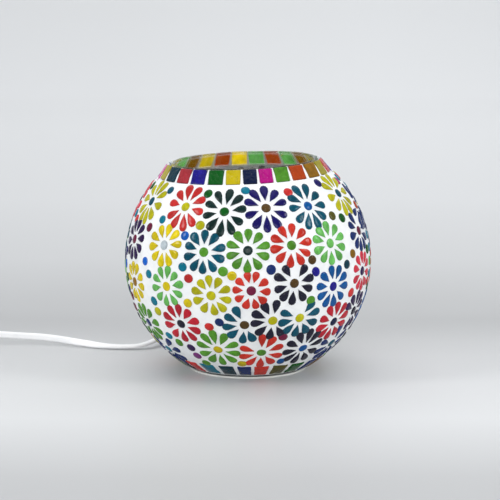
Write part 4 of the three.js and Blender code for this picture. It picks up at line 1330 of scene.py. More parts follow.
@dataclass
class Tesserae:
    """The blossoms, dots and foot tiles: small domed cuts of glass laid on the round of the globe."""

    petals: int = 10
    petal_start: float = 5.6 * MM
    petal_end: float = 16.2 * MM
    petal_width: float = 6.0 * MM
    petal_point: float = 1.5
    petal_widest: float = 0.702
    middle_radius: float = 3.4 * MM
    dot_radius: float = 3.3 * MM
    sunk: float = 2.42 * MM
    proud: float = 0.75 * MM
    front_clearance: float = -2.3 * MM
    back_clearance: float = -0.35 * MM
    around: int = 14
    view_fall: float = math.radians(9.6)
    foot_low: float = 3.7 * MM
    foot_high: float = 12.3 * MM
    foot_gap: float = 1.8 * MM
    foot_taper: float = 0.86
    foot_lean: float = 0.04
    foot_corner: float = 1.2 * MM
    foot_unevenness: float = 0.15 * MM
    turn_unevenness: float = math.radians(1.3)
    reach_unevenness: float = 0.25 * MM
    breadth_unevenness: float = 0.04
    bead_shares: tuple[float, ...] = (0.28, 0.5, 0.74)
    bead_radii: tuple[float, ...] = (1.3 * MM, 2.2 * MM, 2.7 * MM)
    dome_sizes: tuple[float, ...] = (1.0, 1.0, 0.9, 0.5)
    dome_rise: tuple[float, ...] = (0.3, 0.72, 1.0)
    dome_painted_shade: tuple[float, ...] = (1.0, 0.95, 0.55, 0.0)
    hole_clear: float = 10.5 * MM
    dot_clear: float = 0.9 * MM
    dot_oval: Pair = (-0.06, 0.1)
    gap_latitudes: tuple[float, float, int] = (41, -46, 30)
    gap_bearings: tuple[float, float, int] = (66, 294, 120)
    back_shift: float = 1.5
    back_step: int = 4
    petal_turns: float = 36
    seed: int = 28
    placed_ways: list = field(default_factory=list)
    placed_sizes: list = field(default_factory=list)
    cuts: dict = field(default_factory=dict)

    def teardrop(self) -> Array:
        """A petal's outline: u = (1 - cos t) / 2 along it, v = sin t sin(t/2)^point across it."""
        t = full_turn(self.around)
        u = (1 - np.cos(t)) / 2
        v = np.sin(t) * np.abs(np.sin(t / 2)) ** self.petal_point / self.petal_widest
        return np.stack([u, v * self.petal_width / 2], -1)

    def keep_clear(self, way: Array, size: Array) -> None:
        """Notes that discs of some sizes are taken."""
        self.placed_ways.append(way.reshape(-1, 3))
        self.placed_sizes.append(size.reshape(-1))

    def room_at(self, way: Array, size: Array) -> Array:
        """The least distance from discs to those already taken."""
        taken = np.concatenate(self.placed_ways)
        sizes = np.concatenate(self.placed_sizes)
        angle = np.arccos(np.clip(way @ taken.T, -1, 1))
        return (angle * FORM.radius - sizes - size[..., None]).min(-1)

    def note(self, batch: str, surface: Surface) -> None:
        """Keeps a shape with the others of its batch."""
        self.cuts.setdefault(batch, []).append(surface)

    def domed(self, way: Array, turn: Array, outline: Array, draw: Draw) -> Surface:
        """Domed cuts of one outline, each with its own tint.

        The outline sinks below the grout, stands at its full size, then closes over the top in two
        smaller rings, as a dome does.

        Args:
            way: the way to each cut's middle.
            turn: each cut's turn.
            outline: its outline as (place, 2), or (cut, place, 2).
            draw: where the tints come from.

        Returns:
            The cuts as one surface with its tint and edge; the edge sets where the glass's finish paints
            shade.
        """
        outline = np.broadcast_to(outline, (len(way), *outline.shape[-2:]))
        middle = outline.mean(1, keepdims=True)
        sizes = np.array(self.dome_sizes)
        heights = np.array([-self.sunk, *(rise * self.proud for rise in self.dome_rise)])
        local = middle[:, None] + (outline - middle)[:, None] * sizes[None, :, None, None]
        rings = FORM.wrapped(way, turn, local, np.broadcast_to(heights[None, :, None], local.shape[:3]))
        tint = draw.uniform(0, 1, (len(way), 1, 1))
        # edge: 1 at the cut's sides, falling to 0 at its top; it sets the painted shade of the glass
        return stacked(rings, tint=tint, edge=np.array(self.dome_painted_shade)[None, :, None])

    def seen_turn(self, way: Array, seen: float) -> float:
        """The turn on the globe that is seen from the front as another one.

        With east and north on the globe seen as E and N, and (sin s, cos s) = p E + q N, it is
        the angle of (q, p).

        Args:
            way: the way to the place.
            seen: the turn clockwise from up, as seen.

        Returns:
            The turn clockwise from the globe's north.
        """
        east, north = FORM.compass(way)
        upright = np.array([0.0, math.sin(self.view_fall), math.cos(self.view_fall)])
        seen_axes = np.array([[east[0], north[0]], [east @ upright, north @ upright]])
        p, q = np.linalg.solve(seen_axes, [math.sin(seen), math.cos(seen)])
        return math.atan2(p, q)

    def blossom(
        self, place: tuple, size: Pair, clearance: float, draw: Draw
    ) -> None:
        """Lays a blossom, without the petals that would lie on earlier cuts.

        A petal at the turn a reaches hypot(tall cos a, wide sin a) times as far as the usual one.

        Args:
            place: bearing, latitude, petals' batch, middle's batch and first petal's turn as seen.
            size: how tall and how wide it is, against the usual one.
            clearance: the least distance that a petal keeps to earlier cuts.
            draw: where the small unevenness comes from.
        """
        bearing, latitude, batch, middle_batch, first = place
        tall, wide = size
        way = FORM.way_to(np.array([bearing]), np.array([latitude]))
        even = self.seen_turn(way[0], math.radians(first))
        even = even + np.arange(self.petals) * 2 * math.pi / self.petals
        even = even + draw.normal(0, self.turn_unevenness, self.petals)
        stretch = np.hypot(tall * np.cos(even), wide * np.sin(even))
        turn = np.arctan2(wide * np.sin(even), tall * np.cos(even))
        reach = self.petal_end * stretch + draw.normal(0, self.reach_unevenness, self.petals)
        broad = draw.normal(1, self.breadth_unevenness, self.petals) * math.sqrt(wide)
        drop = self.teardrop()
        length = reach - self.petal_start
        u = self.petal_start + drop[None, :, 0] * length[:, None]
        local = np.stack([u, drop[None, :, 1] * broad[:, None]], -1)
        ways = np.repeat(way, self.petals, 0)
        beads = self.petal_start + np.array(self.bead_shares) * length[:, None]
        spots = np.stack([beads, np.zeros_like(beads)], -1)
        spot_ways = unit(FORM.wrapped(ways, turn, spots, np.zeros(beads.shape)) - FORM.centre)
        spot_sizes = np.broadcast_to(np.array(self.bead_radii), beads.shape)
        kept = (self.room_at(spot_ways, spot_sizes) > clearance).all(1)
        if kept.any():
            self.note(batch, self.domed(ways[kept], turn[kept], local[kept], draw))
            self.keep_clear(spot_ways[kept], spot_sizes[kept])
        middle = self.round_cut(self.middle_radius)
        self.note(middle_batch, self.domed(way, np.zeros(1), middle, draw))
        self.keep_clear(way, np.array([self.middle_radius]))

    def round_cut(self, radius: float) -> Array:
        """A round outline."""
        t = full_turn(self.around)
        return radius * np.stack([np.cos(t), np.sin(t)], -1)

    def dot(self, bearing: float, latitude: float, batch: str, draw: Draw) -> None:
        """Lays one round dot, a little oval."""
        way = FORM.way_to(np.array([bearing]), np.array([latitude]))
        outline = self.round_cut(self.dot_radius) * (1 + draw.uniform(*self.dot_oval, 2))
        self.note(batch, self.domed(way, draw.uniform(0, math.pi, 1), outline, draw))
        self.keep_clear(way, np.array([self.dot_radius]))

    def fill_gaps(self, draw: Draw) -> None:
        """Lays dots at the back and sides wherever one fits between the blossoms."""
        latitudes, bearings = np.linspace(*self.gap_latitudes), np.linspace(*self.gap_bearings)
        latitude = np.repeat(latitudes, len(bearings))
        bearing = np.tile(bearings, len(latitudes))
        size = np.array([self.dot_radius + self.dot_clear])
        taken = 0
        for b, l in zip(bearing, latitude):
            way = FORM.way_to(np.array([b]), np.array([l]))
            if self.room_at(way, size)[0] > 0:
                self.dot(b, l, DOT_BATCHES[taken % len(DOT_BATCHES)], draw)
                taken += 1

    def foot_tiles(self, draw: Draw) -> None:
        """Lays the band of slanted tiles round the foot.

        A tile is a rectangle with rounded corners, narrower at its foot, that leans a little.
        """
        bearings, spans = spread_round(FOOT_BEARINGS, len(FOOT_BATCHES))
        low = FORM.fall_at(FORM.radius, self.foot_low)
        high = FORM.fall_at(FORM.radius, self.foot_high)
        middle = (low + high) / 2
        width = spans * FORM.radius * math.cos(middle) - self.foot_gap
        length = (high - low) * FORM.radius
        ways = FORM.way_to(bearings, np.full(len(bearings), math.degrees(middle)), leaned=False)
        for batch, way, wide in zip(FOOT_BATCHES, ways, width):
            x, y = length / 2, wide / 2
            foot = y * self.foot_taper
            corners = np.array([[-x, -foot], [x, -y], [x, y], [-x, foot]])
            corners[:, 1] -= self.foot_lean * corners[:, 0]
            corners += draw.normal(0, self.foot_unevenness, (4, 2))
            outline = rounded(corners, self.foot_corner, 3)
            self.note(batch, self.domed(way[None], np.zeros(1), outline, draw))
            ends = np.array([[-y / 2, 0], [y / 2, 0]])
            spots = FORM.wrapped(way[None], np.zeros(1), ends, np.zeros((1, 2)))
            self.keep_clear(unit(spots - FORM.centre), np.full(2, y))

    def build(self) -> None:
        """Lays every cut, then makes one piece of each batch."""
        draw = np.random.default_rng(self.seed)
        self.keep_clear(FORM.hole_axis[None], np.array([self.hole_clear]))
        for tall, wide, places in BLOSSOM_ROWS:
            for *place, share in (place if len(place) > 5 else (*place, 1.0) for place in places):
                self.blossom(place, (tall * share, wide * share), self.front_clearance, draw)
        for bearing, latitude, batch in DOTS:
            self.dot(bearing, latitude, batch, draw)
        for start, end, count, latitude, batch in BACK_ROWS:
            for number, bearing in enumerate(np.linspace(start, end, count)):
                petal, middle = BACK_BATCHES[(batch + number * self.back_step) % len(BACK_BATCHES)]
                east, north = draw.uniform(-self.back_shift, self.back_shift, 2)
                first = draw.uniform(0, self.petal_turns)
                place = (bearing + east, latitude + north, petal, middle, first)
                way = FORM.way_to(place[0], place[1])[None]
                if self.room_at(way, np.array([self.middle_radius]))[0] > 0:
                    self.blossom(place, (1.0, 1.0), self.back_clearance, draw)
        self.foot_tiles(draw)
        self.fill_gaps(draw)
        for batch, cuts in sorted(self.cuts.items()):
            finish = Glass[batch].inlaid()
            add_piece(f"tesserae_{batch.lower()}", Surface.joined(cuts), finish, crease=70)


@dataclass
class Grouting:
    """The white grout: a lumpy skin on the globe that rises a little to each cut of glass."""

    steps: int = 400
    rows: int = 170
    dip: float = 0.32 * MM
    lump: float = 0.16 * MM
    dip_reach: float = 2.5 * MM
    coarse: float = 9 * MM
    fine: float = 3.6 * MM
    overlap: float = 0.25 * MM
    block: int = 60
    under: float = 0.1 * MM
    band_clear: float = math.radians(0.2)
    fade_rows: int = 6
    bar_depths: tuple[float, float] = (0.75 * MM, 0.5 * MM)
    bar_top: float = 0.7
    bar_unevenness: float = 0.08 * MM

    def skin(self, tesserae: Tesserae) -> Surface:
        """The skin between the foot and the rim band.

        Its height falls by the dip as the distance to the nearest cut of glass grows to the dip's
        reach, and two ripples are added.

        Args:
            tesserae: the cuts that are already laid.

        Returns:
            The skin.
        """
        inner = FORM.radius - FORM.mosaic + self.under
        low = FORM.fall_at(FORM.radius, FORM.foot_z)
        outside = FORM.arc(FORM.radius, low, FORM.band_angle - self.band_clear, self.rows)
        inside = FORM.arc(inner, FORM.band_angle, FORM.fall_at(inner, FORM.foot_z), 40)
        rings = turned(np.vstack([outside, inside]), self.steps)
        rings = FORM.leaned(rings)
        face = rings[: self.rows]
        way = unit(face - FORM.centre)
        near = np.full(face.shape[:2], FORM.radius)
        taken = np.concatenate(tesserae.placed_ways)
        sizes = np.concatenate(tesserae.placed_sizes)
        for start in range(0, len(taken), self.block):
            block = slice(start, start + self.block)
            angle = np.arccos(np.clip(way @ taken[block].T, -1, 1))
            near = np.minimum(near, (angle * FORM.radius - sizes[block]).min(-1))
        height = -self.dip * smoothstep(near, 0, self.dip_reach)
        height += self.lump * ripple(face, self.coarse, 3) + 0.5 * self.lump * ripple(face, self.fine, 4)
        edge = np.minimum(np.arange(self.rows), np.arange(self.rows)[::-1])[:, None]
        rings[: self.rows] = face + way * (height * smoothstep(edge, 0, self.fade_rows))[..., None]
        return stacked(rings, capped=False)

    def joints(self, band: "RimBand") -> Surface:
        """The bars between the rim tiles: each fills the wedge between two tiles' edges.

        Args:
            band: the rim band.

        Returns:
            The bars as one surface.
        """
        bearings, widths = band.layout()
        after_bearings, after_widths = np.roll(bearings, -1), np.roll(widths, -1)
        depths = np.array([FORM.mosaic, *self.bar_depths])
        spread = np.array([1.0, 1.0, self.bar_top])
        along = np.linspace(-0.3 * MM, FORM.tile_length - 0.2 * MM, 7)
        left = band.edge_points(bearings, widths / 2 - self.overlap, depths, along)
        right = band.edge_points(after_bearings, -after_widths / 2 + self.overlap, depths, along)
        middle = (left + right) / 2
        left = middle + (left - middle) * spread[None, :, None, None]
        right = middle + (right - middle) * spread[None, :, None, None]
        rings = np.concatenate([left, right[:, :, ::-1]], 2)
        lumps = self.bar_unevenness * ripple(rings, 4 * MM, 9)[..., None]
        rings = rings + lumps * unit(rings - FORM.centre)
        return stacked(rings)

    def build(self, tesserae: Tesserae, band: "RimBand") -> None:
        """Makes the grout as one piece."""
        surface = Surface.joined([self.skin(tesserae), self.joints(band)])
        add_piece("grout", surface, GROUT, stands_for=("mosaic_field",), crease=60)


RIM_BATCHES = (
    "OLIVE", "DARK_TEAL", "DUSTY_RED", "ROYAL", "DARK_GREEN", "OCHRE", "MIDNIGHT", "MAGENTA", "GREEN",
    "BRICK", "AMBER", "OLIVE", "RED", "ROYAL", "DARK_GREEN", "OLIVE", "AMBER", "LIGHT_GREEN", "ORANGE_BROWN",
    "LIGHT_GREEN", "YELLOW", "ORANGE_BROWN", "YELLOW", "AMBER", "LIGHT_GREEN", "OCHRE", "TEAL", "MAGENTA",
)
RIM_BEARINGS = (-73, -59.5, -46, -33, -19.7, -7.5, 4, 15, 26.7, 39.8, 54.5, 68.5, 81)


@dataclass
class RimBand:
    """The rim: hammered square tiles that let light through, each set on the straight band."""

    thickness: float = 1.6 * MM
    front_joint: float = 1.4 * MM
    back_joint: float = 0.6 * MM
    back_fall: float = 1.5 * MM
    back_extra: float = 1.6 * MM
    back_spread: float = 0.8 * MM
    skew: float = 0.28
    corner: float = 0.9 * MM
    hammer: float = 0.16 * MM
    hammer_wave: float = 3.4 * MM
    face: float = 0.05 * MM
    back_bevel: float = 0.35 * MM
    side: float = 0.45 * MM
    face_bevel: float = 0.08 * MM
    unevenness: Pair = (-0.2 * MM, 0.05 * MM)
    tint_seed: int = 500
    side_steps: int = 4
    insets: tuple[float, ...] = (0.25, 0.5, 0.72, 0.88, 0.965, 1.0, 1.0, 0.965, 0.88, 0.72, 0.5, 0.25)

    def layout(self) -> tuple[Array, Array]:
        """The tiles' bearings in degrees and their widths."""
        bearings, spans = spread_round(RIM_BEARINGS, len(RIM_BATCHES))
        top = FORM.on_band(0.0, FORM.tile_length)[0]
        middle = FORM.on_band(self.thickness, FORM.tile_length / 2)[0]
        seen = np.arange(len(bearings)) < len(RIM_BEARINGS)
        joint = np.where(seen, self.front_joint, self.back_joint)
        return bearings, spans * (top + middle) / 2 - joint

    def edge_points(self, bearings: Array, across: Array, depths: Array, along: Array) -> Array:
        """Places on flat tiles, as (tile, depth, along, 3).

        A tile's own axes are across it, up the band and out of its face; the three are turned to its
        bearing and leaned with the mouth.
        """
        flat = FORM.on_band(depths[:, None], along[None])
        radius, height = flat[None, ..., 0], flat[None, ..., 1]
        across = np.asarray(across).reshape(len(bearings), 1, -1)
        across = np.broadcast_to(across, (len(bearings), *flat.shape[:2]))
        b = np.radians(bearings)[:, None, None]
        x = across * np.cos(b) + radius * np.sin(b)
        y = across * np.sin(b) - radius * np.cos(b)
        return FORM.leaned(np.stack([x, y, height + 0 * x], -1), rigid=True)

    def tile(self, bearing: float, width: float, seed: int, back: bool) -> Surface:
        """One tile: nested rounded squares, in at the back, out to its edge and in over its face.

        The face and back wave by the hammering, more towards the middle.

        Args:
            bearing: its bearing in degrees.
            width: its width.
            seed: its own hammering.
            back: whether it is one of the longer ones that sit lower at the back.

        Returns:
            The tile.
        """
        length = FORM.tile_length - 2 * FORM.gap + back * self.back_extra
        fall = back * (self.back_fall + self.back_extra / 2)
        x, y = width / 2, length / 2
        foot = x + back * self.back_spread
        corners = np.array([[-foot, -y], [foot, -y], [x, y], [-x, y]])
        corners += np.random.default_rng(seed).uniform(*self.unevenness, (4, 2))
        outline = rounded(corners, self.corner, 3)
        inside = np.array(self.insets)
        under, face = self.thickness, self.face
        sides = [under - self.back_bevel, self.side, face + self.face_bevel]
        depth = np.array([under] * 5 + sides + [face] * 4)
        spans = zip(outline, np.roll(outline, -1, 0))
        dense = np.concatenate([np.linspace(a, b, self.side_steps, endpoint=False) for a, b in spans])
        flat = dense[None] * inside[:, None, None]
        wave = self.hammer * ripple(np.dstack([flat, 0 * flat[..., :1]]), self.hammer_wave, seed)
        depth = depth[:, None] + wave * (inside < 0.95)[:, None] * np.where(depth > 1 * MM, -1, 1)[:, None]
        flat_band = FORM.on_band(depth, FORM.tile_length / 2 - fall + flat[..., 1])
        b = math.radians(bearing)
        flat[..., 0] += self.skew * math.sin(b) * flat[..., 1]
        radius = flat_band[..., 0]
        place = np.stack([
            flat[..., 0] * math.cos(b) + radius * math.sin(b),
            flat[..., 0] * math.sin(b) - radius * math.cos(b),
            flat_band[..., 1],
        ], -1)
        # edge: 1 at the tile's sides and lower towards its middle; it sets the painted shade of the glass
        edge = np.where(inside > 0.95, 1.0, 0.4 * inside)[:, None]
        tint = np.random.default_rng(seed + self.tint_seed).uniform(0, 1)
        return stacked(FORM.leaned(place, rigid=True), edge=edge, tint=np.array([[tint]]))

    def build(self) -> None:
        """Makes each tile as a piece of its own."""
        bearings, widths = self.layout()
        for number, (batch, bearing, width) in enumerate(zip(RIM_BATCHES, bearings, widths), 1):
            back = number > len(RIM_BEARINGS)
            surface = self.tile(bearing, width, number, back)
            finish = Glass[batch].windowed(back)
            node = f"rim_tile_{number:02d}"
            add_piece(f"rim_glass_{number:02d}", surface, finish, stands_for=(node,), crease=50)


# ------------------------------------------------------------------ stand and lampholder
def box_of(node: str) -> tuple[Array, Array]:
    """A node's lowest and highest corners as arrays."""
    low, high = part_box(node)
    return np.array(low), np.array(high)


def disc(node: str, edge: float, steps: int = 144) -> Surface:
    """A solid disc with rounded edges that fills a node's box."""
    low, high = box_of(node)
    radius = (high[0] - low[0]) / 2
    core = 0.02 * radius
    corners = np.array([[core, low[2]], [radius, low[2]], [radius, high[2]], [core, high[2]]])
    reach = np.array([0.0, edge, edge, 0.0])
    return stacked(turned(rounded(corners, reach), steps))


@dataclass
class Stand:
    """The enamelled base plate, its gasket and the parts that clamp the globe to it."""

    nut_flats: float = 17 * MM
    nut_bore: float = 5.2 * MM
    nut_steps: int = 96
    nut_chamfer: float = 0.7 * MM
    nut_cone: float = 1.045
    gasket_inner: float = 31.2 * MM

    def nut(self) -> Surface:
        """The hexagon nut: its radius is the flat's distance over the cosine to it, cut by a cone."""
        low, high = box_of("clamp_nut")
        angle = full_turn(self.nut_steps)
        hexagon = self.nut_flats / 2 / np.cos(angle % (math.pi / 3) - math.pi / 6)
        chamfered = np.minimum(hexagon, self.nut_flats / 2 * self.nut_cone)
        bore = np.full(self.nut_steps, self.nut_bore)
        under, over = low[2] + self.nut_chamfer, high[2] - self.nut_chamfer
        rise = np.array([low[2], under, over, high[2], high[2], low[2]])
        radius = np.stack([chamfered, hexagon, hexagon, chamfered, bore, bore])
        x, y = radius * np.cos(angle), radius * np.sin(angle)
        return stacked(np.stack([x, y, rise[:, None] + 0 * angle], -1), capped=False)

    def build(self) -> None:
        """Makes the plate, gasket and nut, and dresses the stud and washers."""
        add_piece("base_disc", disc("base_plate", 0.35 * MM), PAINT, stands_for=("base_plate",), crease=60)
        low, high = box_of("base_gasket")
        gasket = washer(self.gasket_inner, high[0], low[2], high[2], 0.25 * MM)
        add_piece("foot_gasket", gasket, SEAL, stands_for=("base_gasket",))
        add_piece("hex_nut", self.nut(), STEEL, stands_for=("clamp_nut",), crease=25)
        dress_node("hollow_stud", STEEL)
        dress_node("seal_washer", SEAL)
        dress_node("clamp_washer", STEEL)


@dataclass
class Lampholder:
    """The holder: a ribbed cup, a ceramic core with its contacts, the screw shell and the sleeve."""

    pitch: float = 2.8 * MM
    thread: float = 0.28 * MM
    sleeve_thread: float = 0.7 * MM
    cup_wall: float = 2.0 * MM
    floor: float = 3.4 * MM
    shell_wall: float = 0.5 * MM
    sleeve_bore: float = 8.1 * MM
    stud_hole: float = 5.2 * MM
    groove: float = 0.25 * MM
    ribs: int = 30

    def cup(self) -> Surface:
        """The cup: a ribbed wall, a floor with the stud's hole and a rounded lip."""
        low, high = box_of("holder_base")
        radius = high[0]
        corners = np.array([
            [self.stud_hole, low[2]], [radius, low[2]], [radius, high[2]],
            [radius - self.cup_wall, high[2]], [radius - self.cup_wall, low[2] + self.floor],
            [self.stud_hole, low[2] + self.floor],
        ])
        reach = np.array([0.3, 1.2, 0.6, 0.5, 0.8, 0.3]) * MM
        rings = turned(rounded(corners, reach, 5), 120)
        angle = np.arctan2(rings[..., 1], rings[..., 0])
        far = np.linalg.norm(rings[..., :2], axis=-1)
        outer = smoothstep(far, radius - 0.4 * MM, radius - 0.1 * MM)
        groove = self.groove * (1 + np.cos(angle * self.ribs)) / 2 * outer
        return stacked(drawn_in(rings, groove), capped=False)

    def sleeve(self) -> Surface:
        """The threaded outer sleeve, drawn in towards its top."""
        low, high = box_of("holder_sleeve")
        radius = high[0]
        low_z, high_z = low[2], high[2]
        outside = np.linspace(low_z + 1.5 * MM, high_z - 2 * MM, 60)
        taper = radius - 0.1 * MM - 1.5 * MM * smoothstep(outside, low_z + 12 * MM, high_z)
        outline = np.vstack([
            [(radius - 0.6 * MM, low_z), (radius - 0.1 * MM, low_z + 0.6 * MM)],
            np.stack([taper, outside], -1),
            [(taper[-1] - 0.4 * MM, high_z - 0.5 * MM), (taper[-1] - 1.1 * MM, high_z)],
            [(self.sleeve_bore + 0.5 * MM, high_z), (self.sleeve_bore, high_z - 0.6 * MM)],
            [(self.sleeve_bore, low_z + 1.5 * MM), (self.sleeve_bore + 0.3 * MM, low_z)],
        ])
        return threaded(outline, ((4, 58),), self.pitch, self.sleeve_thread)

    def shell(self) -> Surface:
        """The rolled brass screw shell, open at the top."""
        low, high = box_of("screw_shell")
        outer = high[0] - 0.02 * MM
        bore = outer - self.shell_wall
        z = np.linspace(low[2] + 0.6 * MM, high[2] - 0.4 * MM, 56)
        outline = np.vstack([
            [(3.4 * MM, low[2])],
            np.stack([np.full(56, outer), z], -1),
            [(outer - 0.1 * MM, high[2]), (bore + 0.1 * MM, high[2])],
            np.stack([np.full(56, bore), z[::-1]], -1),
            [(3.4 * MM, low[2] + self.shell_wall)],
        ])
        return threaded(outline, ((4, 54), (63, 113)), self.pitch, self.thread)

    def build(self) -> None:
        """Makes the holder's pieces and dresses its small ones."""
        for name, surface, finish, node in (
            ("holder_cup", self.cup(), HOLDER, "holder_base"),
            ("holder_heart", disc("holder_core", 0.8 * MM, 96), STEATITE, "holder_core"),
            ("holder_collar", self.sleeve(), HOLDER, "holder_sleeve"),
            ("screw_thread", self.shell(), BRASS, "screw_shell"),
        ):
            add_piece(name, surface, finish, stands_for=(node,), crease=50)
        for node in ("centre_contact", "terminal_screw_line", "terminal_screw_neutral"):
            dress_node(node, BRASS)


@dataclass
class Bulb:
    """The opal golf-ball bulb with its rolled screw cap."""

    cap_wall: float = 0.4 * MM
    neck: float = 6.2 * MM
    shoulder: float = 2.0 * MM
    pitch: float = 2.82 * MM
    thread: float = 0.3 * MM
    wall: float = 1.0 * MM

    def cap(self) -> Surface:
        """The cap: a rolled thread under a plain rim."""
        low, high = box_of("bulb_cap")
        outer = high[0]
        bore = outer - self.cap_wall
        z = np.linspace(low[2] + 1.4 * MM, high[2] - 0.3 * MM, 60)
        outline = np.vstack([
            [(2.8 * MM, low[2]), (outer - 1.0 * MM, low[2] + 0.2 * MM)],
            np.stack([np.full(60, outer), z], -1),
            [(outer - 0.1 * MM, high[2]), (bore + 0.05 * MM, high[2])],
            np.stack([np.full(60, bore), z[::-1]], -1),
            [(outer - 1.4 * MM, low[2] + 0.6 * MM), (2.8 * MM, low[2] + 0.4 * MM)],
        ])
        return threaded(outline, ((5, 50), (76, 121)), self.pitch, self.thread)

    def glass(self) -> Surface:
        """The bulb: a round that flows into the neck, with an inner face a wall inside it."""
        low, high = box_of("bulb_glass")
        radius = (high[0] - low[0]) / 2
        middle = high[2] - radius
        join = math.asin((self.neck + self.shoulder) / radius) - math.pi / 2
        angle = np.linspace(join, math.pi / 2 - 0.03, 48)
        outer = np.stack([radius * np.cos(angle), middle + radius * np.sin(angle)], -1)
        t = np.linspace(0, 1, 14, endpoint=False)[:, None]
        foot = np.array([[self.neck, low[2]]])
        middle_neck = np.array([[self.neck, (low[2] + outer[0, 1]) / 2 + 1 * MM]])
        skin = np.vstack([bend(t, foot, middle_neck, outer[:1]), outer])
        lining = skin[::-1] - np.array([self.wall, 0])
        lining[:, 0] = np.maximum(lining[:, 0], 0.3 * MM)
        lining[:, 1] -= self.wall * smoothstep(lining[:, 1], middle, high[2])
        return stacked(turned(np.vstack([skin, lining]), 96), capped=False)

    def build(self) -> None:
        """Makes the bulb's pieces on its own body."""
        add_piece("bulb_envelope", self.glass(), OPAL, body=BULB, stands_for=("bulb_glass",), crease=60)
        add_piece("bulb_screw", self.cap(), STEEL, body=BULB, stands_for=("bulb_cap",), crease=50)
        dress_node("bulb_insulator", INSULATOR)
        dress_node("bulb_tip", STEEL)


# ------------------------------------------------------------------ what is on the lead
@dataclass
class Grommet:
    """The strain relief: a flange on the mosaic and a ribbed tail that tapers to the lead."""

    flange: float = 8.2 * MM
    neck: float = 5.0 * MM
    tip: float = 3.2 * MM
    inside: float = 9.1 * MM
    rib: float = 3.1 * MM
    groove: float = 0.55 * MM

    def build(self) -> Thing:
        """Makes the strain relief, turned about the hole's axis, and gives the piece."""
        collar = FORM.radius + FORM.collar
        seat = FORM.radius - FORM.mosaic
        tail = np.linspace(0.8 * MM, FORM.tail - 0.4 * MM, 90)
        taper = self.neck + (self.tip - self.neck) * tail / FORM.tail
        fade = plateau(tail, 0.5 * MM, 3 * MM, FORM.tail - 3 * MM, FORM.tail - 1 * MM)
        groove = self.groove * grooves(tail, self.rib) * fade
        outline = np.vstack([
            [(0.3 * MM, FORM.radius - self.inside), (self.neck + 0.9 * MM, FORM.radius - self.inside)],
            [(self.neck + 1.7 * MM, seat - 4.2 * MM), (self.neck, seat - 3.6 * MM), (self.neck, seat)],
            [(self.flange, seat), (self.flange, collar - 0.9 * MM)],
            [(self.flange - 0.25 * MM, collar - 0.3 * MM)],
            [(self.flange - 0.9 * MM, collar), (self.neck + 0.8 * MM, collar + 0.1 * MM)],
            np.stack([taper - groove, collar + tail], -1),
            [(self.tip - 0.35 * MM, collar + FORM.tail), (0.3 * MM, collar + FORM.tail)],
        ])
        rings = turned(outline, 72)
        side = np.array([1.0, 0.0, 0.0])
        over = np.cross(FORM.hole_axis, side)
        place = rings[..., :1] * side + rings[..., 1:2] * over + rings[..., 2:] * FORM.hole_axis
        surface = stacked(place + FORM.centre)
        return add_piece("strain_relief", surface, RUBBER, stands_for=("cord_grommet",), crease=45)


def superellipse(half_x: float, half_y: float, power: float, steps: int) -> Array:
    """A rounded box outline: x = a |cos t|^(2/p), y = b |sin t|^(2/p), each with its sign kept."""
    t = full_turn(steps)
    x = half_x * powered(np.cos(t), 2 / power)
    y = half_y * powered(np.sin(t), 2 / power)
    return np.stack([x, y], -1)


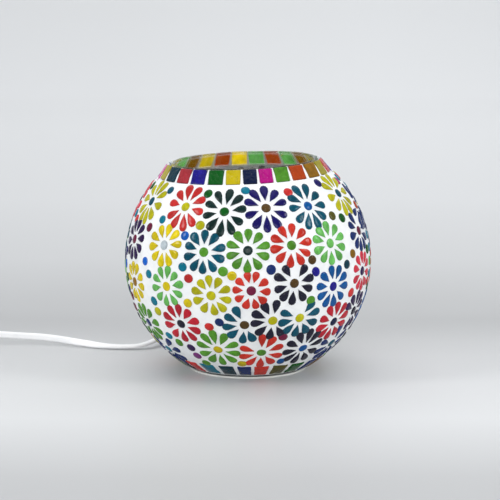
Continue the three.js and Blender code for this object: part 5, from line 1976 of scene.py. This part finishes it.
@dataclass
class InlineSwitch:
    """The switch on the lead: two hollow shells screwed together and a rocker between them."""

    wall: float = 1.8 * MM
    corner: float = 9.0 * MM
    edge: float = 1.6 * MM
    window_x: float = 8.5 * MM
    window_y: float = 5.25 * MM
    rocker_radius: float = 8.0 * MM
    tilt: float = math.radians(12)
    rocker_half: float = 4.75 * MM
    corner_steps: int = 12
    window_power: float = 7.0
    rocker_dip: float = 2.6 * MM
    rocker_rise: float = math.radians(30)
    rocker_hollow: float = 1.35
    ridge: float = 0.22 * MM
    ridge_from: float = 0.6
    ridge_waves: float = 60

    def outline(self, half: Array, inset: float) -> Array:
        """The shell's rounded rectangle, drawn in by an inset."""
        x, y = half[0] - inset, half[1] - inset
        corners = np.array([[-x, -y], [x, -y], [x, y], [-x, y]])
        return rounded(corners, max(self.corner - inset, 2 * MM), self.corner_steps)

    def shell(self, node: str, upward: bool, window: bool) -> Surface:
        """A hollow half of the case.

        The rings run from the middle of the outer face, out round its edge, down the outside to the
        open rim, and back up the inside. A window starts them at its own edge instead.

        Args:
            node: the node whose box it fills.
            upward: whether its outer face is its top.
            window: whether its outer face is open for the rocker.

        Returns:
            The half.
        """
        low, high = box_of(node)
        middle, half = (low + high) / 2, (high - low) / 2
        face, rim = (high[2], low[2]) if upward else (low[2], high[2])
        into = -1 if upward else 1
        around = 4 * (self.corner_steps + 1)
        turn = np.linspace(0, math.pi / 2, 6)
        into_wall = [0.0, 0.25 * MM, self.wall, self.wall, self.wall + 1 * MM]
        insets = [*(self.edge * (1 - np.sin(turn))), *into_wall]
        heights = [
            *(face + into * self.edge * (1 - np.cos(turn))), rim - into * 0.3 * MM, rim,
            rim, face + into * (self.wall + 1 * MM), face + into * self.wall,
        ]
        outlines = [self.outline(half, inset) for inset in insets]
        if window:
            opening = superellipse(self.window_x, self.window_y, self.window_power, around)
            start = np.argmin(np.linalg.norm(opening - self.outline(half, 0)[0] * 0.3, axis=1))
            opening = np.roll(opening, -start, 0)
            outlines = [opening, opening * 1.06, *outlines, opening]
            heights = [face + into * 0.5 * MM, face, *heights, face + into * self.wall]
        rings = [np.column_stack([ring, np.full(around, z)]) for ring, z in zip(outlines, heights)]
        surface = np.stack(rings) + np.array([middle[0], middle[1], 0])
        return stacked(surface, capped=not window)

    def rocker(self) -> Surface:
        """The rocker: a section of two shallow paddles and a round back, carried across its width."""
        joints = frame["record"]["behaviour"]["joints"]
        pivot = np.array(next(joint["pos_m"] for joint in joints if joint["name"] == "rocker_press"))
        rise, dip = self.rocker_rise, self.rocker_dip
        r = self.rocker_radius
        back = np.linspace(math.pi - rise, 2 * math.pi + rise, 40)
        hollow = np.linspace(-1, 1, 25)
        top_x = -hollow * r * math.cos(rise)
        top_z = dip + (r * math.sin(rise) - dip) * np.abs(hollow) ** self.rocker_hollow
        ridge = self.ridge * (np.abs(hollow) > self.ridge_from) * (np.cos(hollow * self.ridge_waves) > 0)
        around = np.stack([r * np.cos(back), r * np.sin(back)], -1)
        around[:, 1] = np.maximum(around[:, 1], -2.4 * MM - 2.2 * MM * np.abs(around[:, 0]) / r)
        section = np.vstack([around, np.stack([top_x, top_z + ridge], -1)])
        across = np.array([-1, -0.985, -0.93, 0.93, 0.985, 1]) * self.rocker_half
        size = np.array([0.95, 0.985, 1, 1, 0.985, 0.95])
        x = section[None, :, 0] * size[:, None]
        z = section[None, :, 1] * size[:, None]
        tipped_x = x * math.cos(self.tilt) + z * math.sin(self.tilt)
        tipped_z = z * math.cos(self.tilt) - x * math.sin(self.tilt)
        y = across[:, None] + 0 * x
        return stacked(np.stack([tipped_x, y, tipped_z], -1) + pivot)

    def build(self) -> list[Thing]:
        """Makes the shells and the rocker, dresses the screws and gives the pieces on the lead."""
        base = self.shell("switch_base", upward=False, window=False)
        cover = self.shell("switch_cover", upward=True, window=True)
        pieces = [
            add_piece("switch_tray", base, PLASTIC, stands_for=("switch_base",), crease=50),
            add_piece("switch_lid", cover, PLASTIC, stands_for=("switch_cover",), crease=50),
            add_piece("switch_paddle", self.rocker(), PLASTIC, ROCKER, ("switch_rocker",), 40),
        ]
        for node in ("switch_screw_1", "switch_screw_2"):
            dress_node(node, STEEL)
            pieces.append(frame["nodes"][node])
        return pieces


@dataclass
class Plug:
    """The two-pin plug: a moulded body with grip ribs, a ribbed tail and brass pins."""

    tail_length: float = 18 * MM
    tail_radius: float = 3.5 * MM
    nose: float = 13 * MM
    half_width: float = 17.65 * MM
    swell: float = 6.85 * MM - 4.7 * MM
    rib: float = 3.0 * MM
    tail_groove: float = 0.5 * MM
    grip_groove: float = 0.6 * MM

    def body(self) -> Surface:
        """The body and its tail: rounded boxes along X whose half width and height change with x."""
        low, high = box_of("plug_body")
        middle = (low + high) / 2
        length = high[0] - low[0]
        x = np.linspace(0, length, 120)
        grow = smoothstep(x, self.tail_length - 4 * MM, self.tail_length + 9 * MM)
        wide = self.tail_radius + (self.half_width - self.tail_radius) * grow
        wide -= (self.half_width - self.nose) * smoothstep(x, self.tail_length + 19 * MM, length)
        tall = self.tail_radius + 1.2 * MM * smoothstep(x, 0, self.tail_length)
        tall += self.swell * grow
        ribs = grooves(x, self.rib)
        past = x - self.tail_length
        on_tail = plateau(x, 1 * MM, 3 * MM, self.tail_length - 7 * MM, self.tail_length - 4 * MM)
        grip = plateau(past, 9 * MM, 11 * MM, 20 * MM, 22 * MM)
        wide -= ribs * (self.tail_groove * on_tail + self.grip_groove * grip)
        tall -= ribs * self.tail_groove * on_tail
        ends = np.minimum(np.minimum(x, length - x) / (1.2 * MM), 1)
        shrink = 1 - 0.14 * (1 - np.sqrt(1 - (1 - ends) ** 2))
        t = full_turn(56)
        power = (2 / (2.0 + 2.6 * grow))[:, None]
        y = powered(np.cos(t), power) * (wide * shrink)[:, None]
        z = powered(np.sin(t), power) * (tall * shrink)[:, None]
        rings = np.stack([low[0] + x[:, None] + 0 * t, middle[1] + y, middle[2] + z], -1)
        return stacked(rings)

    def pin(self, node: str) -> Surface:
        """A pin: an insulated root, a bare shank and a rounded end."""
        low, high = box_of(node)
        middle = (low + high) / 2
        radius = (high[2] - low[2]) / 2
        length = high[0] - low[0]
        x = np.array([0, 0.02, 0.5, 0.51, 0.55, 0.92, 0.97, 0.99, 1.0]) * length
        reach = np.array([0.97, 1, 1, 0.94, 0.92, 0.92, 0.82, 0.55, 0.1]) * radius
        t = full_turn(32)
        y = middle[1] + reach[:, None] * np.cos(t)
        z = middle[2] + reach[:, None] * np.sin(t)
        return stacked(np.stack([low[0] + x[:, None] + 0 * t, y, z], -1))

    def build(self) -> list[Thing]:
        """Makes the plug's pieces and gives them."""
        moulding = add_piece("plug_moulding", self.body(), PLASTIC, stands_for=("plug_body",), crease=50)
        pieces = [moulding]
        for side in ("line", "neutral"):
            node = f"plug_pin_{side}"
            pieces.append(add_piece(f"pin_{side}", self.pin(node), BRASS, stands_for=(node,), crease=40))
        return pieces


# ------------------------------------------------------------------ the lamp
def main() -> None:
    """Builds the room and the lamp in order."""
    logging.basicConfig(level=logging.INFO, format="%(name)s %(message)s")
    Room().build()
    on_run = [Grommet().build(), *InlineSwitch().build()]
    on_rest = Plug().build()
    Lead().build(on_run, on_rest)
    tesserae = Tesserae()
    band = RimBand()
    Globe().build()
    tesserae.build()
    Grouting().build(tesserae, band)
    band.build()
    Stand().build()
    Lampholder().build()
    Bulb().build()


if __name__ == "__main__":
    main()
